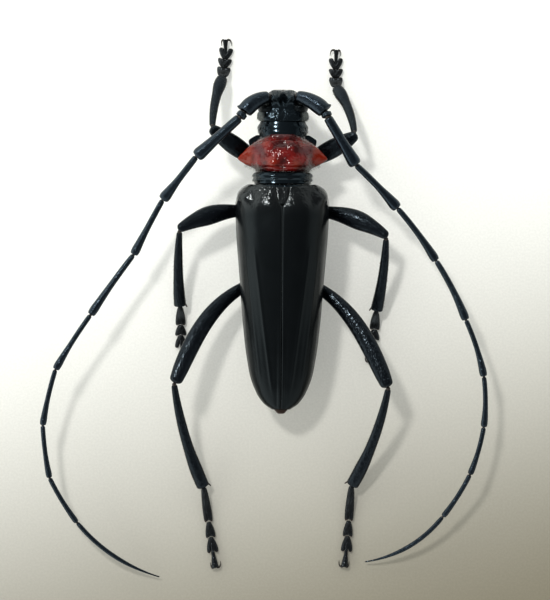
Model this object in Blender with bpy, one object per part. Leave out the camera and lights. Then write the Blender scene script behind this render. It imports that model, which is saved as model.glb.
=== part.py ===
"""A red-necked longhorn beetle, male, at life size, standing with its legs and feelers spread.

Lengths are in millimetres until a mesh is finished, and each mesh is then written in metres.
The beetle's own frame has +Y towards the head, +Z up from the floor, and Y = 0 at the root of
the wing cases. The last step moves the whole beetle, so that the middle of its box is the origin.
"""

import math

import bmesh
import bpy
from mathutils import Vector

MM = 0.001
UP = Vector((0.0, 0.0, 1.0))
GAP = 0.3                      # air between two touching pieces
SIDES = (("left", -1.0), ("right", 1.0))

# Trunk: places along Y where one piece ends and the next begins
HEAD_FRONT = 10.35
NECK = 7.0
FRONT_COLLAR_BACK = 5.7
PRONOTUM_BACK = 1.45
WING_ROOT = 0.05
MESOTHORAX_BACK = -4.9
METATHORAX_BACK = -11.6
ABDOMEN_BACK = -23.7
TAIL_TIP = -25.1

# Wing cases: (Y, size) stations from the root to the tip
WING_FRONT = 0.13
WING_TIP = -24.6
WING_THICK = 0.55
WING_HALF_WIDTH = ((0.13, 3.75), (-0.3, 4.5), (-1.0, 4.92), (-2.2, 5.1), (-11.0, 4.53), (-16.2, 4.1),
                   (-20.7, 3.42), (-22.8, 2.65), (-24.0, 1.8), (-24.6, 0.95))
WING_TOP = ((0.13, 8.3), (-0.7, 8.9), (-2.5, 9.2), (-5.5, 9.3), (-12.0, 8.6), (-18.0, 7.4),
            (-22.0, 6.1), (-24.6, 4.95))
WING_EDGE = ((0.13, 6.0), (-1.2, 5.2), (-4.0, 4.75), (-12.0, 4.4), (-20.0, 4.2), (-24.6, 4.1))
WING_ROUNDNESS = 2.5           # 2 is an ellipse, more is boxier
CORE_INSET = WING_THICK + GAP + 0.12

# Scutellum, the small shield between the wing roots
SHIELD_FRONT = -0.25
SHIELD_TIP = -2.1
SHIELD_HALF_WIDTH = ((SHIELD_FRONT, 0.8), (-1.3, 0.62), (SHIELD_TIP, 0.14))
SHIELD_THICK = 0.6

# Pronotum, the red shield behind the head, with one spine on each side
PRONOTUM_FLOOR = 4.6           # level of its flat underside
# Side spine from its root to its point: (X, Y, half length along the body, half height)
SPINE = ((2.5, 3.55, 1.75, 0.8), (3.15, 3.42, 1.6, 0.82), (3.7, 3.24, 1.15, 0.68), (4.3, 3.1, 0.64, 0.42),
         (4.8, 3.0, 0.22, 0.2), (4.97, 2.96, 0.08, 0.08))
SPINE_LEVEL = 5.45
TUBERCLES = ((1.5, 4.3, 0.28), (1.15, 2.25, 0.35), (2.6, 3.2, 0.2), (0.0, 3.4, 0.15))
TUBERCLE_REACH = 0.75

# Eyes, kidney shaped, on the sides of the head
EYE_PLACE = (1.75, 8.65, 5.65)
EYE_SIZE = (1.05, 1.0, 1.7)

# The two knobs that carry the feelers, and the groove between them
KNOB_PLACE = (0.95, 9.55, 7.75)
KNOB_RADIUS = 0.75
GROOVE_PLACE = (0.0, 10.05, 8.45)
GROOVE_RADIUS = 0.5

# Mouthparts under the face: each path runs through these places, right side
LIP_TOP = 1.9
LIP_BACK, LIP_FRONT = 9.55, 10.15
JAW_PATH = ((1.25, 9.45, 1.8), (0.3, 9.75, 0.75))
JAW_WIDTH = ((0.0, 0.85), (0.5, 0.7), (1.0, 0.3))
JAW_BOW = 0.3
PALP_PATH = ((1.15, 8.5, 1.75), (1.75, 9.2, 1.35), (1.75, 10.0, 0.95))
PALP_WIDTH = ((0.0, 0.42), (0.9, 0.5), (1.02, 0.4), (1.8, 0.55), (2.0, 0.5))

# Feelers: for each side the scape's root, then (length, heading, rise) of the eleven joints.
# A heading is in degrees from straight ahead, clockwise; a rise is in degrees above level.
FEELER_ROOT = {"left": (-1.65, 9.74, 7.4), "right": (1.55, 10.02, 7.4)}
FEELER_JOINTS = {
    "left": ((3.26, -124.9, 12.6), (0.74, -141.7, 14.6), (6.47, -132.0, -9.8), (6.19, -141.9, -15.0),
             (6.87, -152.2, -5.0), (8.13, -144.9, 2.1), (7.15, -147.6, -1.6), (6.37, -167.2, -6.3),
             (5.85, 172.4, -2.0), (5.93, 149.1, -12.7), (11.24, 124.0, -11.8)),
    "right": ((3.75, 122.9, 10.9), (0.63, 160.2, 17.2), (6.17, 148.5, -10.3), (6.75, 135.1, -13.7),
              (7.20, 143.1, -4.8), (7.30, 153.0, 2.4), (6.53, 161.9, -1.8), (5.63, 179.3, -7.1),
              (5.45, -164.3, -2.1), (5.69, -148.6, -13.2), (10.29, -121.5, -12.9)),
}
# How far each joint bulges outwards, from the second on; the last one curves most
JOINT_BOWS = {"left": (0.0, 0.0, 0.0, 0.04, 0.08, 0.1, 0.12, 0.12, 0.14, 0.85),
              "right": (0.0, 0.0, 0.1, 0.16, 0.2, 0.2, 0.18, 0.16, 0.16, 0.98)}
SCAPE_WIDTH = ((0.0, 1.05), (0.35, 1.55), (0.75, 1.82), (1.0, 1.5))
SCAPE_TOOTH = 0.5              # length of the tooth at its outer end
# Width of each joint from the third on: root, middle, knob
JOINT_WIDTHS = ((0.82, 1.05, 1.42), (0.66, 0.72, 1.2), (0.58, 0.64, 0.95), (0.57, 0.66, 0.92),
                (0.52, 0.54, 0.82), (0.5, 0.52, 0.72), (0.5, 0.5, 0.66), (0.5, 0.5, 0.6),
                (0.48, 0.46, 0.16))
FEELER_FLATNESS = 0.9

# Legs: hip, then (length, heading, rise, bow to the right) of femur and tibia, the tibia with the
# step to the right of its root, then (heading of the foot, heading of the claw joint)
LEGS = {
    "fore_left": {"hip": (-1.83, 2.3, 2.45), "femur": (7.38, -56.6, 20.2, -0.12),
                  "tibia": (7.22, 8.5, -31.8, -0.5, -0.2), "foot": (6.4, -1.0)},
    "fore_right": {"hip": (1.71, 2.33, 2.45), "femur": (7.34, 62.5, 20.3, 0.12),
                   "tibia": (7.04, -19.0, -32.7, 0.35, 0.2), "foot": (-0.6, 2.1)},
    "mid_left": {"hip": (-2.24, -3.03, 2.4), "femur": (9.35, -100.3, 16.1, 0.9),
                 "tibia": (9.49, -178.8, -23.6, 0.38, 0.2), "foot": (178.8, 168.2)},
    "mid_right": {"hip": (2.19, -2.89, 2.4), "femur": (9.73, 104.6, 15.5, -0.9),
                  "tibia": (9.28, -175.0, -24.2, -0.33, -0.22), "foot": (-175.5, -171.4)},
    "hind_left": {"hip": (-2.41, -10.34, 2.5), "femur": (14.73, -140.4, 14.5, 1.65),
                  "tibia": (13.42, 166.1, -21.9, 0.43, 0.16), "foot": (171.7, 171.4)},
    "hind_right": {"hip": (2.35, -10.31, 2.5), "femur": (15.05, 140.9, 14.2, -1.5),
                   "tibia": (13.08, -162.4, -22.5, -0.5, -0.2), "foot": (-176.1, -174.0)},
}
FEMUR_LEAD = {"fore": 0.0, "mid": 0.1, "hind": 0.3}   # how far the bow leans towards the root
COXA_RADIUS = {"fore": 0.95, "mid": 0.9, "hind": 1.0}
FEMUR_WIDTH = {
    "fore": ((0.0, 0.9), (0.3, 1.65), (0.6, 2.0), (0.85, 1.65), (1.0, 1.15)),
    "mid": ((0.0, 0.85), (0.3, 1.3), (0.65, 2.0), (0.87, 1.45), (1.0, 1.0)),
    "hind": ((0.0, 0.9), (0.22, 1.3), (0.5, 1.76), (0.72, 1.86), (0.88, 1.7), (1.0, 1.15)),
}
TIBIA_WIDTH = {
    "fore": ((0.0, 0.62), (0.3, 0.85), (0.6, 1.0), (0.85, 1.32), (1.0, 1.05)),
    "mid": ((0.0, 0.6), (0.3, 0.75), (0.6, 0.9), (0.85, 1.15), (1.0, 1.3)),
    "hind": ((0.0, 0.62), (0.3, 0.92), (0.6, 1.1), (0.85, 1.38), (1.0, 1.35)),
}
FEMUR_FLATNESS = 0.62
TIBIA_FLATNESS = 0.62
# Foot: lengths of the three pads and the claw joint, and the widths at their ends
FOOT_LENGTHS = {"fore": (1.0, 0.95, 1.05, 0.92), "mid": (2.1, 1.1, 1.25, 1.1),
                "hind": (3.75, 1.6, 1.6, 1.56)}
FOOT_WIDTHS = {"fore": (1.52, 1.58, 1.6, 0.8), "mid": (1.2, 1.28, 1.3, 0.76),
               "hind": (0.96, 1.08, 1.25, 0.76)}
LOBE_WIDTH = 0.5
SPUR_LENGTH = 0.75
CLAW_REACH = 0.56


def smooth(stations, at):
    """Value on a smooth line through (place, value) stations that never overshoots them."""
    stations = sorted(stations)
    if at <= stations[0][0]:
        return stations[0][1]
    if at >= stations[-1][0]:
        return stations[-1][1]
    slopes = [(b[1] - a[1]) / (b[0] - a[0]) for a, b in zip(stations, stations[1:])]

    def lean(index):
        if index in (0, len(slopes)):
            return slopes[min(index, len(slopes) - 1)]
        before, after = slopes[index - 1], slopes[index]
        return 0.0 if before * after <= 0.0 else 2.0 * before * after / (before + after)

    index = max(i for i in range(len(slopes)) if stations[i][0] <= at)
    step = stations[index + 1][0] - stations[index][0]
    t = (at - stations[index][0]) / step
    low, high = stations[index][1], stations[index + 1][1]
    return (low * (1 + 2 * t) * (1 - t) ** 2 + high * t * t * (3 - 2 * t)
            + step * (lean(index) * t * (1 - t) ** 2 - lean(index + 1) * t * t * (1 - t)))


def rounded(angle, roundness):
    """Cosine and sine of an angle on a boxy ellipse."""
    power = 2.0 / roundness
    across, high = math.cos(angle), math.sin(angle)
    return math.copysign(abs(across) ** power, across), math.copysign(abs(high) ** power, high)


def onward(start, length, heading, rise):
    """The point a length away, at a heading and a rise in degrees."""
    turn, lift = math.radians(heading), math.radians(rise)
    flat = length * math.cos(lift)
    return Vector(start) + Vector((flat * math.sin(turn), flat * math.cos(turn), length * math.sin(lift)))


def route(start, end, bow=0.0, lead=0.0):
    """Point and direction at t along a line that bows to its right; it runs on straight past its ends.

    A lead above 0 puts the fullest part of the bow nearer the start.
    """
    start, end = Vector(start), Vector(end)
    chord = end - start
    push = chord.cross(UP).normalized() * bow

    def at(t):
        inside = min(max(t, 0.0), 1.0)
        rest = 1.0 - 2.0 * inside
        heading = chord + push * 4.0 * (rest + lead * (rest * rest - 2.0 * inside * (1.0 - inside)))
        point = start + chord * inside + push * 4.0 * inside * (1.0 - inside) * (1.0 + lead * rest)
        return point + heading * (t - inside), heading.normalized()

    return at


def joined(first, second):
    """Two routes in a row, the first over t = 0 to 1 and the second over 1 to 2."""
    bend = (first(1.0)[1] + second(0.0)[1]).normalized()

    def at(t):
        point, heading = first(t) if t < 1.0 else second(t - 1.0)
        return point, bend if abs(t - 1.0) < 0.04 else heading

    return at


def tube(sides, rings, place):
    """A closed tube whose every point is carried to place(ring, angle)."""
    bm = bmesh.new()
    bmesh.ops.create_cone(bm, cap_ends=True, segments=sides, radius1=1.0, radius2=1.0, depth=rings - 1.0)
    lengthwise = [e for e in bm.edges if abs(e.verts[0].co.z - e.verts[1].co.z) > 0.5]
    if rings > 2:
        bmesh.ops.subdivide_edges(bm, edges=lengthwise, cuts=rings - 2)
    for vert in bm.verts:
        ring = round(vert.co.z + (rings - 1) / 2)
        vert.co = place(ring, math.atan2(vert.co.y, vert.co.x))
    if bm.calc_volume(signed=True) < 0.0:
        bmesh.ops.reverse_faces(bm, faces=bm.faces)
    return bm


def limb(path, stops, width, flatness, sides, grow=0.0):
    """A tube along a path; each stop is (t, share of the full width there)."""
    def place(ring, angle):
        t, share = stops[ring]
        centre, heading = path(t)
        left = UP.cross(heading).normalized()
        over = heading.cross(left)
        half = 0.5 * width(t) * share + grow
        high = 0.5 * width(t) * share * flatness + grow
        return centre + left * half * math.cos(angle) + over * high * math.sin(angle)
    return tube(sides, len(stops), place)


def round_end(radius, length, at=1.0):
    """Stops that close a tube with a rounded end past t = at."""
    angles = [math.radians(a) for a in (32.0, 58.0, 76.0)]
    return [(at + radius / length * math.sin(a), math.cos(a)) for a in angles]


def ball(centre, radius, sides=10, rings=7, stretch=(1.0, 1.0, 1.0)):
    """A round body with its poles up and down."""
    bm = bmesh.new()
    bmesh.ops.create_uvsphere(bm, u_segments=sides, v_segments=rings, radius=radius)
    bmesh.ops.scale(bm, vec=stretch, verts=bm.verts)
    bmesh.ops.translate(bm, vec=centre, verts=bm.verts)
    return bm


def material(name, colour, roughness, metallic=0.0):
    """A plain finish."""
    finish = bpy.data.materials.new(name)
    finish.use_nodes = True
    shader = finish.node_tree.nodes["Principled BSDF"]
    shader.inputs["Base Color"].default_value = (*colour, 1.0)
    shader.inputs["Roughness"].default_value = roughness
    shader.inputs["Metallic"].default_value = metallic
    return finish


def make(name, bm, finish=None):
    """Turn a millimetre mesh into an object in metres; with no finish it is a hidden helper."""
    bmesh.ops.scale(bm, vec=(MM, MM, MM), verts=bm.verts)
    mesh = bpy.data.meshes.new(name)
    bm.to_mesh(mesh)
    bm.free()
    piece = bpy.data.objects.new(name, mesh)
    bpy.context.scene.collection.objects.link(piece)
    if finish is None:
        piece.hide_render = True
        piece.display_type = "WIRE"
    else:
        mesh.materials.append(finish)
        mesh.shade_smooth()
        mesh.set_sharp_from_angle(angle=math.radians(50.0))
    return piece


def carve(piece, cutters):
    """Cut helpers out of a piece."""
    for cutter in cutters:
        cut = piece.modifiers.new("clear_" + cutter.name, "BOOLEAN")
        cut.operation = "DIFFERENCE"
        cut.solver = "EXACT"
        cut.object = cutter


def fuse(name, meshes, finish):
    """Join closed meshes into one closed body, its largest surface."""
    parts = [make(name + "_part_%d" % i, bm, finish) for i, bm in enumerate(meshes)]
    group = bpy.data.collections.new(name + "_parts")
    for part in parts[1:]:
        group.objects.link(part)
    union = parts[0].modifiers.new("union", "BOOLEAN")
    union.operation = "UNION"
    union.operand_type = "COLLECTION"
    union.collection = group
    union.solver = "EXACT"
    mesh = bpy.data.meshes.new_from_object(parts[0].evaluated_get(bpy.context.evaluated_depsgraph_get()))
    for part in parts:
        bpy.data.objects.remove(part)
    bpy.data.collections.remove(group)
    bm = bmesh.new()
    bm.from_mesh(mesh)
    bpy.data.meshes.remove(mesh)
    keep_largest(bm)
    bmesh.ops.scale(bm, vec=(1.0 / MM,) * 3, verts=bm.verts)
    return make(name, bm, finish)


def keep_largest(bm):
    """Weld a body and drop every closed surface but the largest."""
    bmesh.ops.remove_doubles(bm, verts=bm.verts, dist=0.002 * MM)
    bmesh.ops.triangulate(bm, faces=bm.faces)
    left = set(bm.verts)
    shells = []
    while left:
        shell, edge = set(), [left.pop()]
        while edge:
            vert = edge.pop()
            shell.add(vert)
            near = {e.other_vert(vert) for e in vert.link_edges} & left
            left -= near
            edge.extend(near)
        shells.append(shell)
    shells.sort(key=len)
    for shell in shells[:-1]:
        bmesh.ops.delete(bm, geom=list(shell), context="VERTS")


def trunk_section(stations, ring_places, sides, roundness, belly_roundness, grow=0.0):
    """A trunk piece: stations are (Y, half width, bottom, level of the widest place, top)."""
    def size(index, y):
        return smooth([(s[0], s[index]) for s in stations], y)

    def place(ring, angle):
        y = ring_places[ring]
        half, bottom, level, top = (size(index, y) for index in (1, 2, 3, 4))
        over = math.sin(angle) >= 0.0
        across, high = rounded(angle, roundness if over else belly_roundness)
        rise = top - level + grow if over else level - bottom + grow
        return Vector(((half + grow) * across, y, level + rise * high))

    return tube(sides, len(ring_places), place)


def spread(first, last, count):
    """Evenly spaced places from first to last."""
    return [first + (last - first) * i / (count - 1) for i in range(count)]


def head_stations():
    """Sections of the head, from the neck to the upright face."""
    return ((NECK + GAP / 2, 2.6, 3.3, 5.6, 7.55), (7.7, 2.7, 2.9, 5.6, 7.85), (8.2, 2.3, 2.6, 5.5, 8.0),
            (8.8, 2.0, 2.3, 5.4, 8.05), (9.6, 1.95, 2.1, 5.3, 8.1), (10.15, 1.75, 2.2, 5.2, 7.8),
            (HEAD_FRONT, 1.5, 2.7, 5.1, 7.2))


def head_mesh(grow=0.0):
    """The head without its horns' roots, optionally larger all round."""
    places = [NECK + GAP / 2, 7.7, 8.2, 8.8, 9.6, 10.15, HEAD_FRONT]
    if grow:
        places[0] -= grow
        places[-1] += grow
    return trunk_section(head_stations(), places, 16, 2.5, 2.2, grow)


def build_head(black, mouth_black, eye_black, scape_cutters):
    """Head with its antennal tubercles, eyes and mouthparts."""
    x, y, z = KNOB_PLACE
    knobs = [ball((sign * x, y, z), KNOB_RADIUS, 8, 6, (1.0, 0.85, 0.8)) for _, sign in SIDES]
    head = fuse("head", [head_mesh(), *knobs], black)
    groove = make("groove", ball(GROOVE_PLACE, GROOVE_RADIUS, 8, 6, (0.45, 2.2, 0.9)))
    carve(head, [groove, *scape_cutters])
    grown_head = make("head_grown", head_mesh(GAP))
    for side, sign in SIDES:
        x, y, z = EYE_PLACE
        eye = make("eye_" + side, ball((sign * x, y, z), 1.0, 10, 8, EYE_SIZE), eye_black)
        carve(eye, [grown_head, *scape_cutters])
    build_mouth(mouth_black)


def mirrored(path, sign):
    """The places of a right-hand path, or of its mirror image on the left."""
    return [Vector((sign * x, y, z)) for x, y, z in path]


def build_mouth(finish):
    """Upper lip, jaws and palps under the upright face, and the lower lip behind them."""
    lip = ((LIP_BACK, 0.75, LIP_TOP - 0.6, LIP_TOP - 0.3, LIP_TOP),
           (LIP_FRONT, 0.6, LIP_TOP - 0.55, LIP_TOP - 0.3, LIP_TOP - 0.1))
    make("upper_lip", trunk_section(lip, spread(LIP_BACK, LIP_FRONT, 3), 8, 3.0, 3.0), finish)
    for side, sign in SIDES:
        root, tip = mirrored(JAW_PATH, sign)
        stops = [(t, 1.0) for t in (0.0, 0.3, 0.6, 0.85)] + [(1.0, 0.6)]
        jaw = route(root, tip, sign * JAW_BOW)
        make("jaw_" + side, limb(jaw, stops, lambda t: smooth(JAW_WIDTH, t), 1.0, 8), finish)
        root, bend, tip = mirrored(PALP_PATH, sign)
        stops = [(t, 1.0) for t in (0.0, 0.5, 0.95, 1.05, 1.6)] + [(1.9, 0.95), (2.0, 0.6)]
        palp = joined(route(root, bend), route(bend, tip))
        make("palp_" + side, limb(palp, stops, lambda t: smooth(PALP_WIDTH, t), 0.9, 7), finish)
    chin = ((8.2, 0.7, 1.35, 1.6, 1.8), (9.1, 0.6, 1.1, 1.4, 1.65))
    make("lower_lip", trunk_section(chin, spread(8.2, 9.1, 3), 8, 3.0, 3.0), finish)


def build_neck_shield(black, red, leg_cutters):
    """Pronotum with its spines, the two black collars and the underside between the fore legs."""
    middle = FRONT_COLLAR_BACK + GAP / 2
    start = NECK - GAP / 2
    collar = ((start, 2.6, 3.1, 5.4, 7.65), (6.4, 2.72, 2.9, 5.4, 7.85), (middle, 2.6, 2.9, 5.4, 7.8))
    make("front_collar", trunk_section(collar, spread(start, middle, 5), 18, 2.4, 2.0), black)

    front, back = FRONT_COLLAR_BACK - GAP / 2, PRONOTUM_BACK + GAP / 2
    disc = ((front, 2.55, 0.0, PRONOTUM_FLOOR, 7.8), (5.0, 3.1, 0.0, PRONOTUM_FLOOR, 8.15),
            (3.6, 3.45, 0.0, PRONOTUM_FLOOR, 8.45), (2.4, 3.35, 0.0, PRONOTUM_FLOOR, 8.35),
            (back, 2.75, 0.0, PRONOTUM_FLOOR, 7.9))
    shield = flat_based_section(disc, spread(front, back, 9), 22, 2.4)
    spines = [spine_mesh(sign) for _, sign in SIDES]
    fuse("pronotum", [shield, *spines], red)

    side = PRONOTUM_FLOOR - GAP
    under = ((front, 2.9, 2.9, side, side), (4.95, 3.75, 2.6, side, side), (3.9, 3.45, 2.4, side, side),
             (2.6, 3.3, 2.35, side, side), (back, 2.9, 2.5, side, side))
    piece = make("prosternum", trunk_section(under, spread(front, back, 7), 16, 2.0, 1.8), black)
    carve(piece, leg_cutters["fore_left"] + leg_cutters["fore_right"])

    collar = rear_collar_stations()
    ends = [s[0] for s in collar]
    make("rear_collar", trunk_section(collar, ends, 18, 2.4, 2.0), black)


def rear_collar_stations():
    """The ringed black collar behind the red shield."""
    front, back = PRONOTUM_BACK - GAP / 2, WING_ROOT + GAP / 2
    rows = []
    for share, half in ((0.0, 3.2), (0.25, 3.38), (0.45, 3.2), (0.6, 3.3), (0.8, 3.02), (1.0, 3.05)):
        rows.append((front + (back - front) * share, half, 2.75, 5.3, 4.85 + half * 0.97))
    return rows


def flat_based_section(stations, ring_places, sides, roundness):
    """As a trunk section, with a flat underside at its widest level and low bumps on top."""
    def size(index, y):
        return smooth([(s[0], s[index]) for s in stations], y)

    def place(ring, angle):
        y = ring_places[ring]
        half, level, top = (size(index, y) for index in (1, 3, 4))
        across, high = rounded(angle, roundness)
        if math.sin(angle) < 1e-6:
            return Vector((half * across, y, level))
        x = half * across
        lump = sum(h * math.exp(-((abs(x) - bx) ** 2 + (y - by) ** 2) / TUBERCLE_REACH ** 2)
                   for bx, by, h in TUBERCLES)
        return Vector((x, y, level + (top - level) * high + lump * high - 0.12 * high))

    return tube(sides, len(ring_places), place)


def spine_mesh(sign):
    """One side spine, a broad pointed cone rooted well inside the shield."""
    def place(ring, angle):
        x, y, long_half, high_half = SPINE[ring]
        level = SPINE_LEVEL + high_half * math.sin(angle)
        return Vector((sign * x, y + long_half * math.cos(angle), level))

    return tube(10, len(SPINE), place)


def wing_surface(y, share, inset=0.0):
    """Point on the wing cases' outer arch, share 0 at the middle seam and 1 at the side edge."""
    half = smooth(WING_HALF_WIDTH, y) - inset
    level = smooth(WING_EDGE, y)
    rise = smooth(WING_TOP, y) - level - inset
    high, across = rounded(0.5 * math.pi * share, WING_ROUNDNESS)
    return half * abs(across), level + rise * abs(high)


def seam_share(y, clear):
    """The share of the arch at which it is a clear distance from the middle."""
    half = smooth(WING_HALF_WIDTH, y)
    return math.asin(min(clear / half, 1.0) ** (WING_ROUNDNESS / 2.0)) / (0.5 * math.pi)


def build_wings(black):
    """Two thin arched wing cases that meet at the middle seam and leave room for the scutellum."""
    rows, columns = 20, 8
    for side, sign in SIDES:
        bm = bmesh.new()
        bmesh.ops.create_grid(bm, x_segments=columns, y_segments=rows, size=0.5)
        for vert in bm.verts:
            across, along = vert.co.x + 0.5, vert.co.y + 0.5
            lead = WING_FRONT - 0.3 * (1.0 - across) ** 2
            y = lead + (WING_TIP - lead) * (1.0 - math.cos(0.5 * math.pi * along)) ** 0.75
            clear = GAP / 2 if y < SHIELD_TIP - 0.35 else smooth(SHIELD_HALF_WIDTH, y) + GAP
            seam = seam_share(y, clear)
            x, z = wing_surface(y, seam + (1.0 - seam) * across)
            vert.co = Vector((sign * x, y, z))
        bmesh.ops.recalc_face_normals(bm, faces=bm.faces)
        if sum(f.normal.z for f in bm.faces) < 0.0:
            bmesh.ops.reverse_faces(bm, faces=bm.faces)
        wing = make("wing_case_" + side, bm, black)
        wall = wing.modifiers.new("wall", "SOLIDIFY")
        wall.thickness = WING_THICK * MM
        wall.offset = -1.0

    def place(ring, angle):
        y = SHIELD_FRONT + (SHIELD_TIP - SHIELD_FRONT) * ring / 4
        half = smooth(SHIELD_HALF_WIDTH, y)
        across, high = rounded(angle, 5.0)
        return Vector((half * across, y, smooth(WING_TOP, y) - SHIELD_THICK / 2 * (1.0 - high)))
    make("scutellum", tube(12, 5, place), black)


def core_stations(front, back, belly, count):
    """Sections of the body under the wing cases."""
    rows = []
    for y in spread(front, back, count):
        half, level = wing_surface(y, 1.0, CORE_INSET)
        top = wing_surface(y, 0.0, CORE_INSET)[1]
        rows.append((y, half, smooth(belly, y), level, max(top, level + 0.15)))
    return rows


def build_core(black, leg_cutters):
    """Middle and hind thorax, the grooved abdomen and the tail tip."""
    belly = ((WING_ROOT, 2.75), (-3.0, 2.45), (-8.0, 2.2), (-11.6, 2.3), (-16.0, 2.4), (-20.0, 2.8),
             (ABDOMEN_BACK, 3.35))
    middle = core_stations(WING_ROOT - GAP / 2, MESOTHORAX_BACK + GAP / 2, belly, 6)
    piece = make("mesothorax", trunk_section(middle, [s[0] for s in middle], 16, 2.5, 1.8), black)
    carve(piece, leg_cutters["mid_left"] + leg_cutters["mid_right"])

    hind = core_stations(MESOTHORAX_BACK - GAP / 2, METATHORAX_BACK + GAP / 2, belly, 6)
    piece = make("metathorax", trunk_section(hind, [s[0] for s in hind], 16, 2.5, 1.8), black)
    carve(piece, [c for leg, pair in leg_cutters.items() if not leg.startswith("fore") for c in pair])

    front, back = METATHORAX_BACK - GAP / 2, ABDOMEN_BACK + GAP / 2
    edges = [front + (back - front) * share for share in (0.0, 0.3, 0.5, 0.68, 0.85, 1.0)]
    groove = 0.12
    rows = []
    for number, (start, end) in enumerate(zip(edges, edges[1:])):
        inner_end = end + (0.2 if number < len(edges) - 2 else 0.0)
        for y, sunk in ((start, groove if number else 0.0), (inner_end, 0.0)):
            half, level = wing_surface(y, 1.0, CORE_INSET)
            top = wing_surface(y, 0.0, CORE_INSET)[1]
            rows.append((y, half - sunk, smooth(belly, y) + sunk, level, max(top - sunk, level + 0.15)))
    piece = make("abdomen", trunk_section(rows, [r[0] for r in rows], 16, 2.5, 1.8), black)
    carve(piece, leg_cutters["hind_left"] + leg_cutters["hind_right"])

    tail = ((ABDOMEN_BACK - GAP / 2, 0.95, 3.25, 3.5, 3.75), (-24.6, 0.75, 3.3, 3.5, 3.75),
            (TAIL_TIP, 0.35, 3.35, 3.5, 3.65))
    make("tail_tip", trunk_section(tail, (tail[0][0], -24.3, -24.8, TAIL_TIP), 10, 2.5, 2.5), black)


def feeler_points(side):
    """Places of the feeler's joints, from the scape's root to the tip."""
    points = [Vector(FEELER_ROOT[side])]
    for length, heading, rise in FEELER_JOINTS[side]:
        points.append(onward(points[-1], length, heading, rise))
    return points


def scape(side, grow=0.0):
    """The thick first joint; grown, it cuts its own socket."""
    points = feeler_points(side)
    path = route(points[0], points[1])
    length = (points[1] - points[0]).length
    start = 0.12 if not grow else 0.12 - grow / length
    stops = [(start, 1.0), (0.3, 1.0), (0.55, 1.0), (0.8, 1.0), (1.0 - 0.45 / length, 0.95), (1.0, 0.6)]
    return limb(path, stops, lambda t: smooth(SCAPE_WIDTH, t), 0.9, 10, grow)


def scape_tooth(side, sign):
    """The tooth at the outer front corner of the scape's end."""
    root, end = feeler_points(side)[:2]
    heading = (end - root).normalized()
    forward = heading.cross(UP).normalized() * -sign
    start = end - heading * 0.75 + forward * 0.3
    tip = end + heading * (SCAPE_TOOTH - 0.45) + forward * 0.78
    stops = [(0.0, 1.0), (0.6, 0.7), (1.0, 0.25)]
    return limb(route(start, tip), stops, lambda t: 0.6, 1.0, 6)


def knobbed(widths_a, widths_b):
    """Width along two joints in a row, each widening to a knob at its far end."""
    stations = ((0.0, widths_a[0]), (0.55, widths_a[1]), (0.8, 0.3 * widths_a[1] + 0.7 * widths_a[2]),
                (0.94, widths_a[2]), (1.0, widths_a[2] * 0.86), (1.035, widths_b[0]), (1.5, widths_b[1]),
                (1.82, 0.3 * widths_b[1] + 0.7 * widths_b[2]), (1.95, widths_b[2]),
                (2.0, widths_b[2] * 0.8))
    return lambda t: smooth(stations, t)


def build_feelers(black):
    """Both feelers, each as the scape and five lengths of two joints."""
    for side, sign in SIDES:
        fuse("feeler_%s_scape" % side, [scape(side), scape_tooth(side, sign)], black)
        points = feeler_points(side)
        pedicel = (0.85, 1.0, 1.0)
        widths = (pedicel, *JOINT_WIDTHS)
        for number, name in enumerate(("base", "4_5", "6_7", "8_9", "tip")):
            first = 1 + 2 * number
            start, bend, end = points[first:first + 3]
            clear = GAP if number else GAP + 0.15
            start = start + (bend - start).normalized() * clear
            bows = [-sign * b for b in JOINT_BOWS[side][2 * number:2 * number + 2]]
            path = joined(route(start, bend, bows[0]), route(bend, end, bows[1]))
            width = knobbed(widths[2 * number], widths[2 * number + 1])
            stops = [(t, 1.0) for t in (0.0, 0.35, 0.7, 0.94, 1.0, 1.035, 1.3, 1.65, 1.86)]
            if name == "base":
                stops = [(t, 1.0) for t in (0.0, 0.5, 0.94, 1.035, 1.3, 1.65, 1.86)]
            stops += [(1.95, 1.0), (2.0, 0.6)]
            make("feeler_%s_%s" % (side, name), limb(path, stops, width, FEELER_FLATNESS, 8), black)


def leg_points(leg):
    """Hip, knee and ankle of a leg."""
    pose = LEGS[leg]
    hip = Vector(pose["hip"])
    knee = onward(hip, *pose["femur"][:3])
    return hip, knee, onward(knee, *pose["tibia"][:3])


def femur_mesh(leg, grow=0.0):
    """Femur from beside its coxa to a rounded knee."""
    pair = leg.split("_")[0]
    hip, knee, _ = leg_points(leg)
    length = (knee - hip).length
    path = route(hip, knee, LEGS[leg]["femur"][3], FEMUR_LEAD[pair])
    knee_radius = 0.5 * FEMUR_WIDTH[pair][-1][1]
    first = (COXA_RADIUS[pair] + GAP) / length
    stops = [(first, 1.0)] + [(t, 1.0) for t in (0.22, 0.35, 0.48, 0.6, 0.72, 0.84, 0.94)] + [(1.0, 1.0)]
    stops += round_end(knee_radius, length)
    return limb(path, stops, lambda t: smooth(FEMUR_WIDTH[pair], t), FEMUR_FLATNESS, 10, grow)


def make_leg_cutters():
    """Helpers that clear the trunk round each coxa and the root of each femur."""
    cutters = {}
    for leg in LEGS:
        pair = leg.split("_")[0]
        hip = leg_points(leg)[0]
        socket = make("socket_" + leg, ball(hip, COXA_RADIUS[pair] + GAP, 14, 9))
        groove = make("groove_" + leg, femur_mesh(leg, GAP))
        cutters[leg] = [socket, groove]
    return cutters


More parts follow.
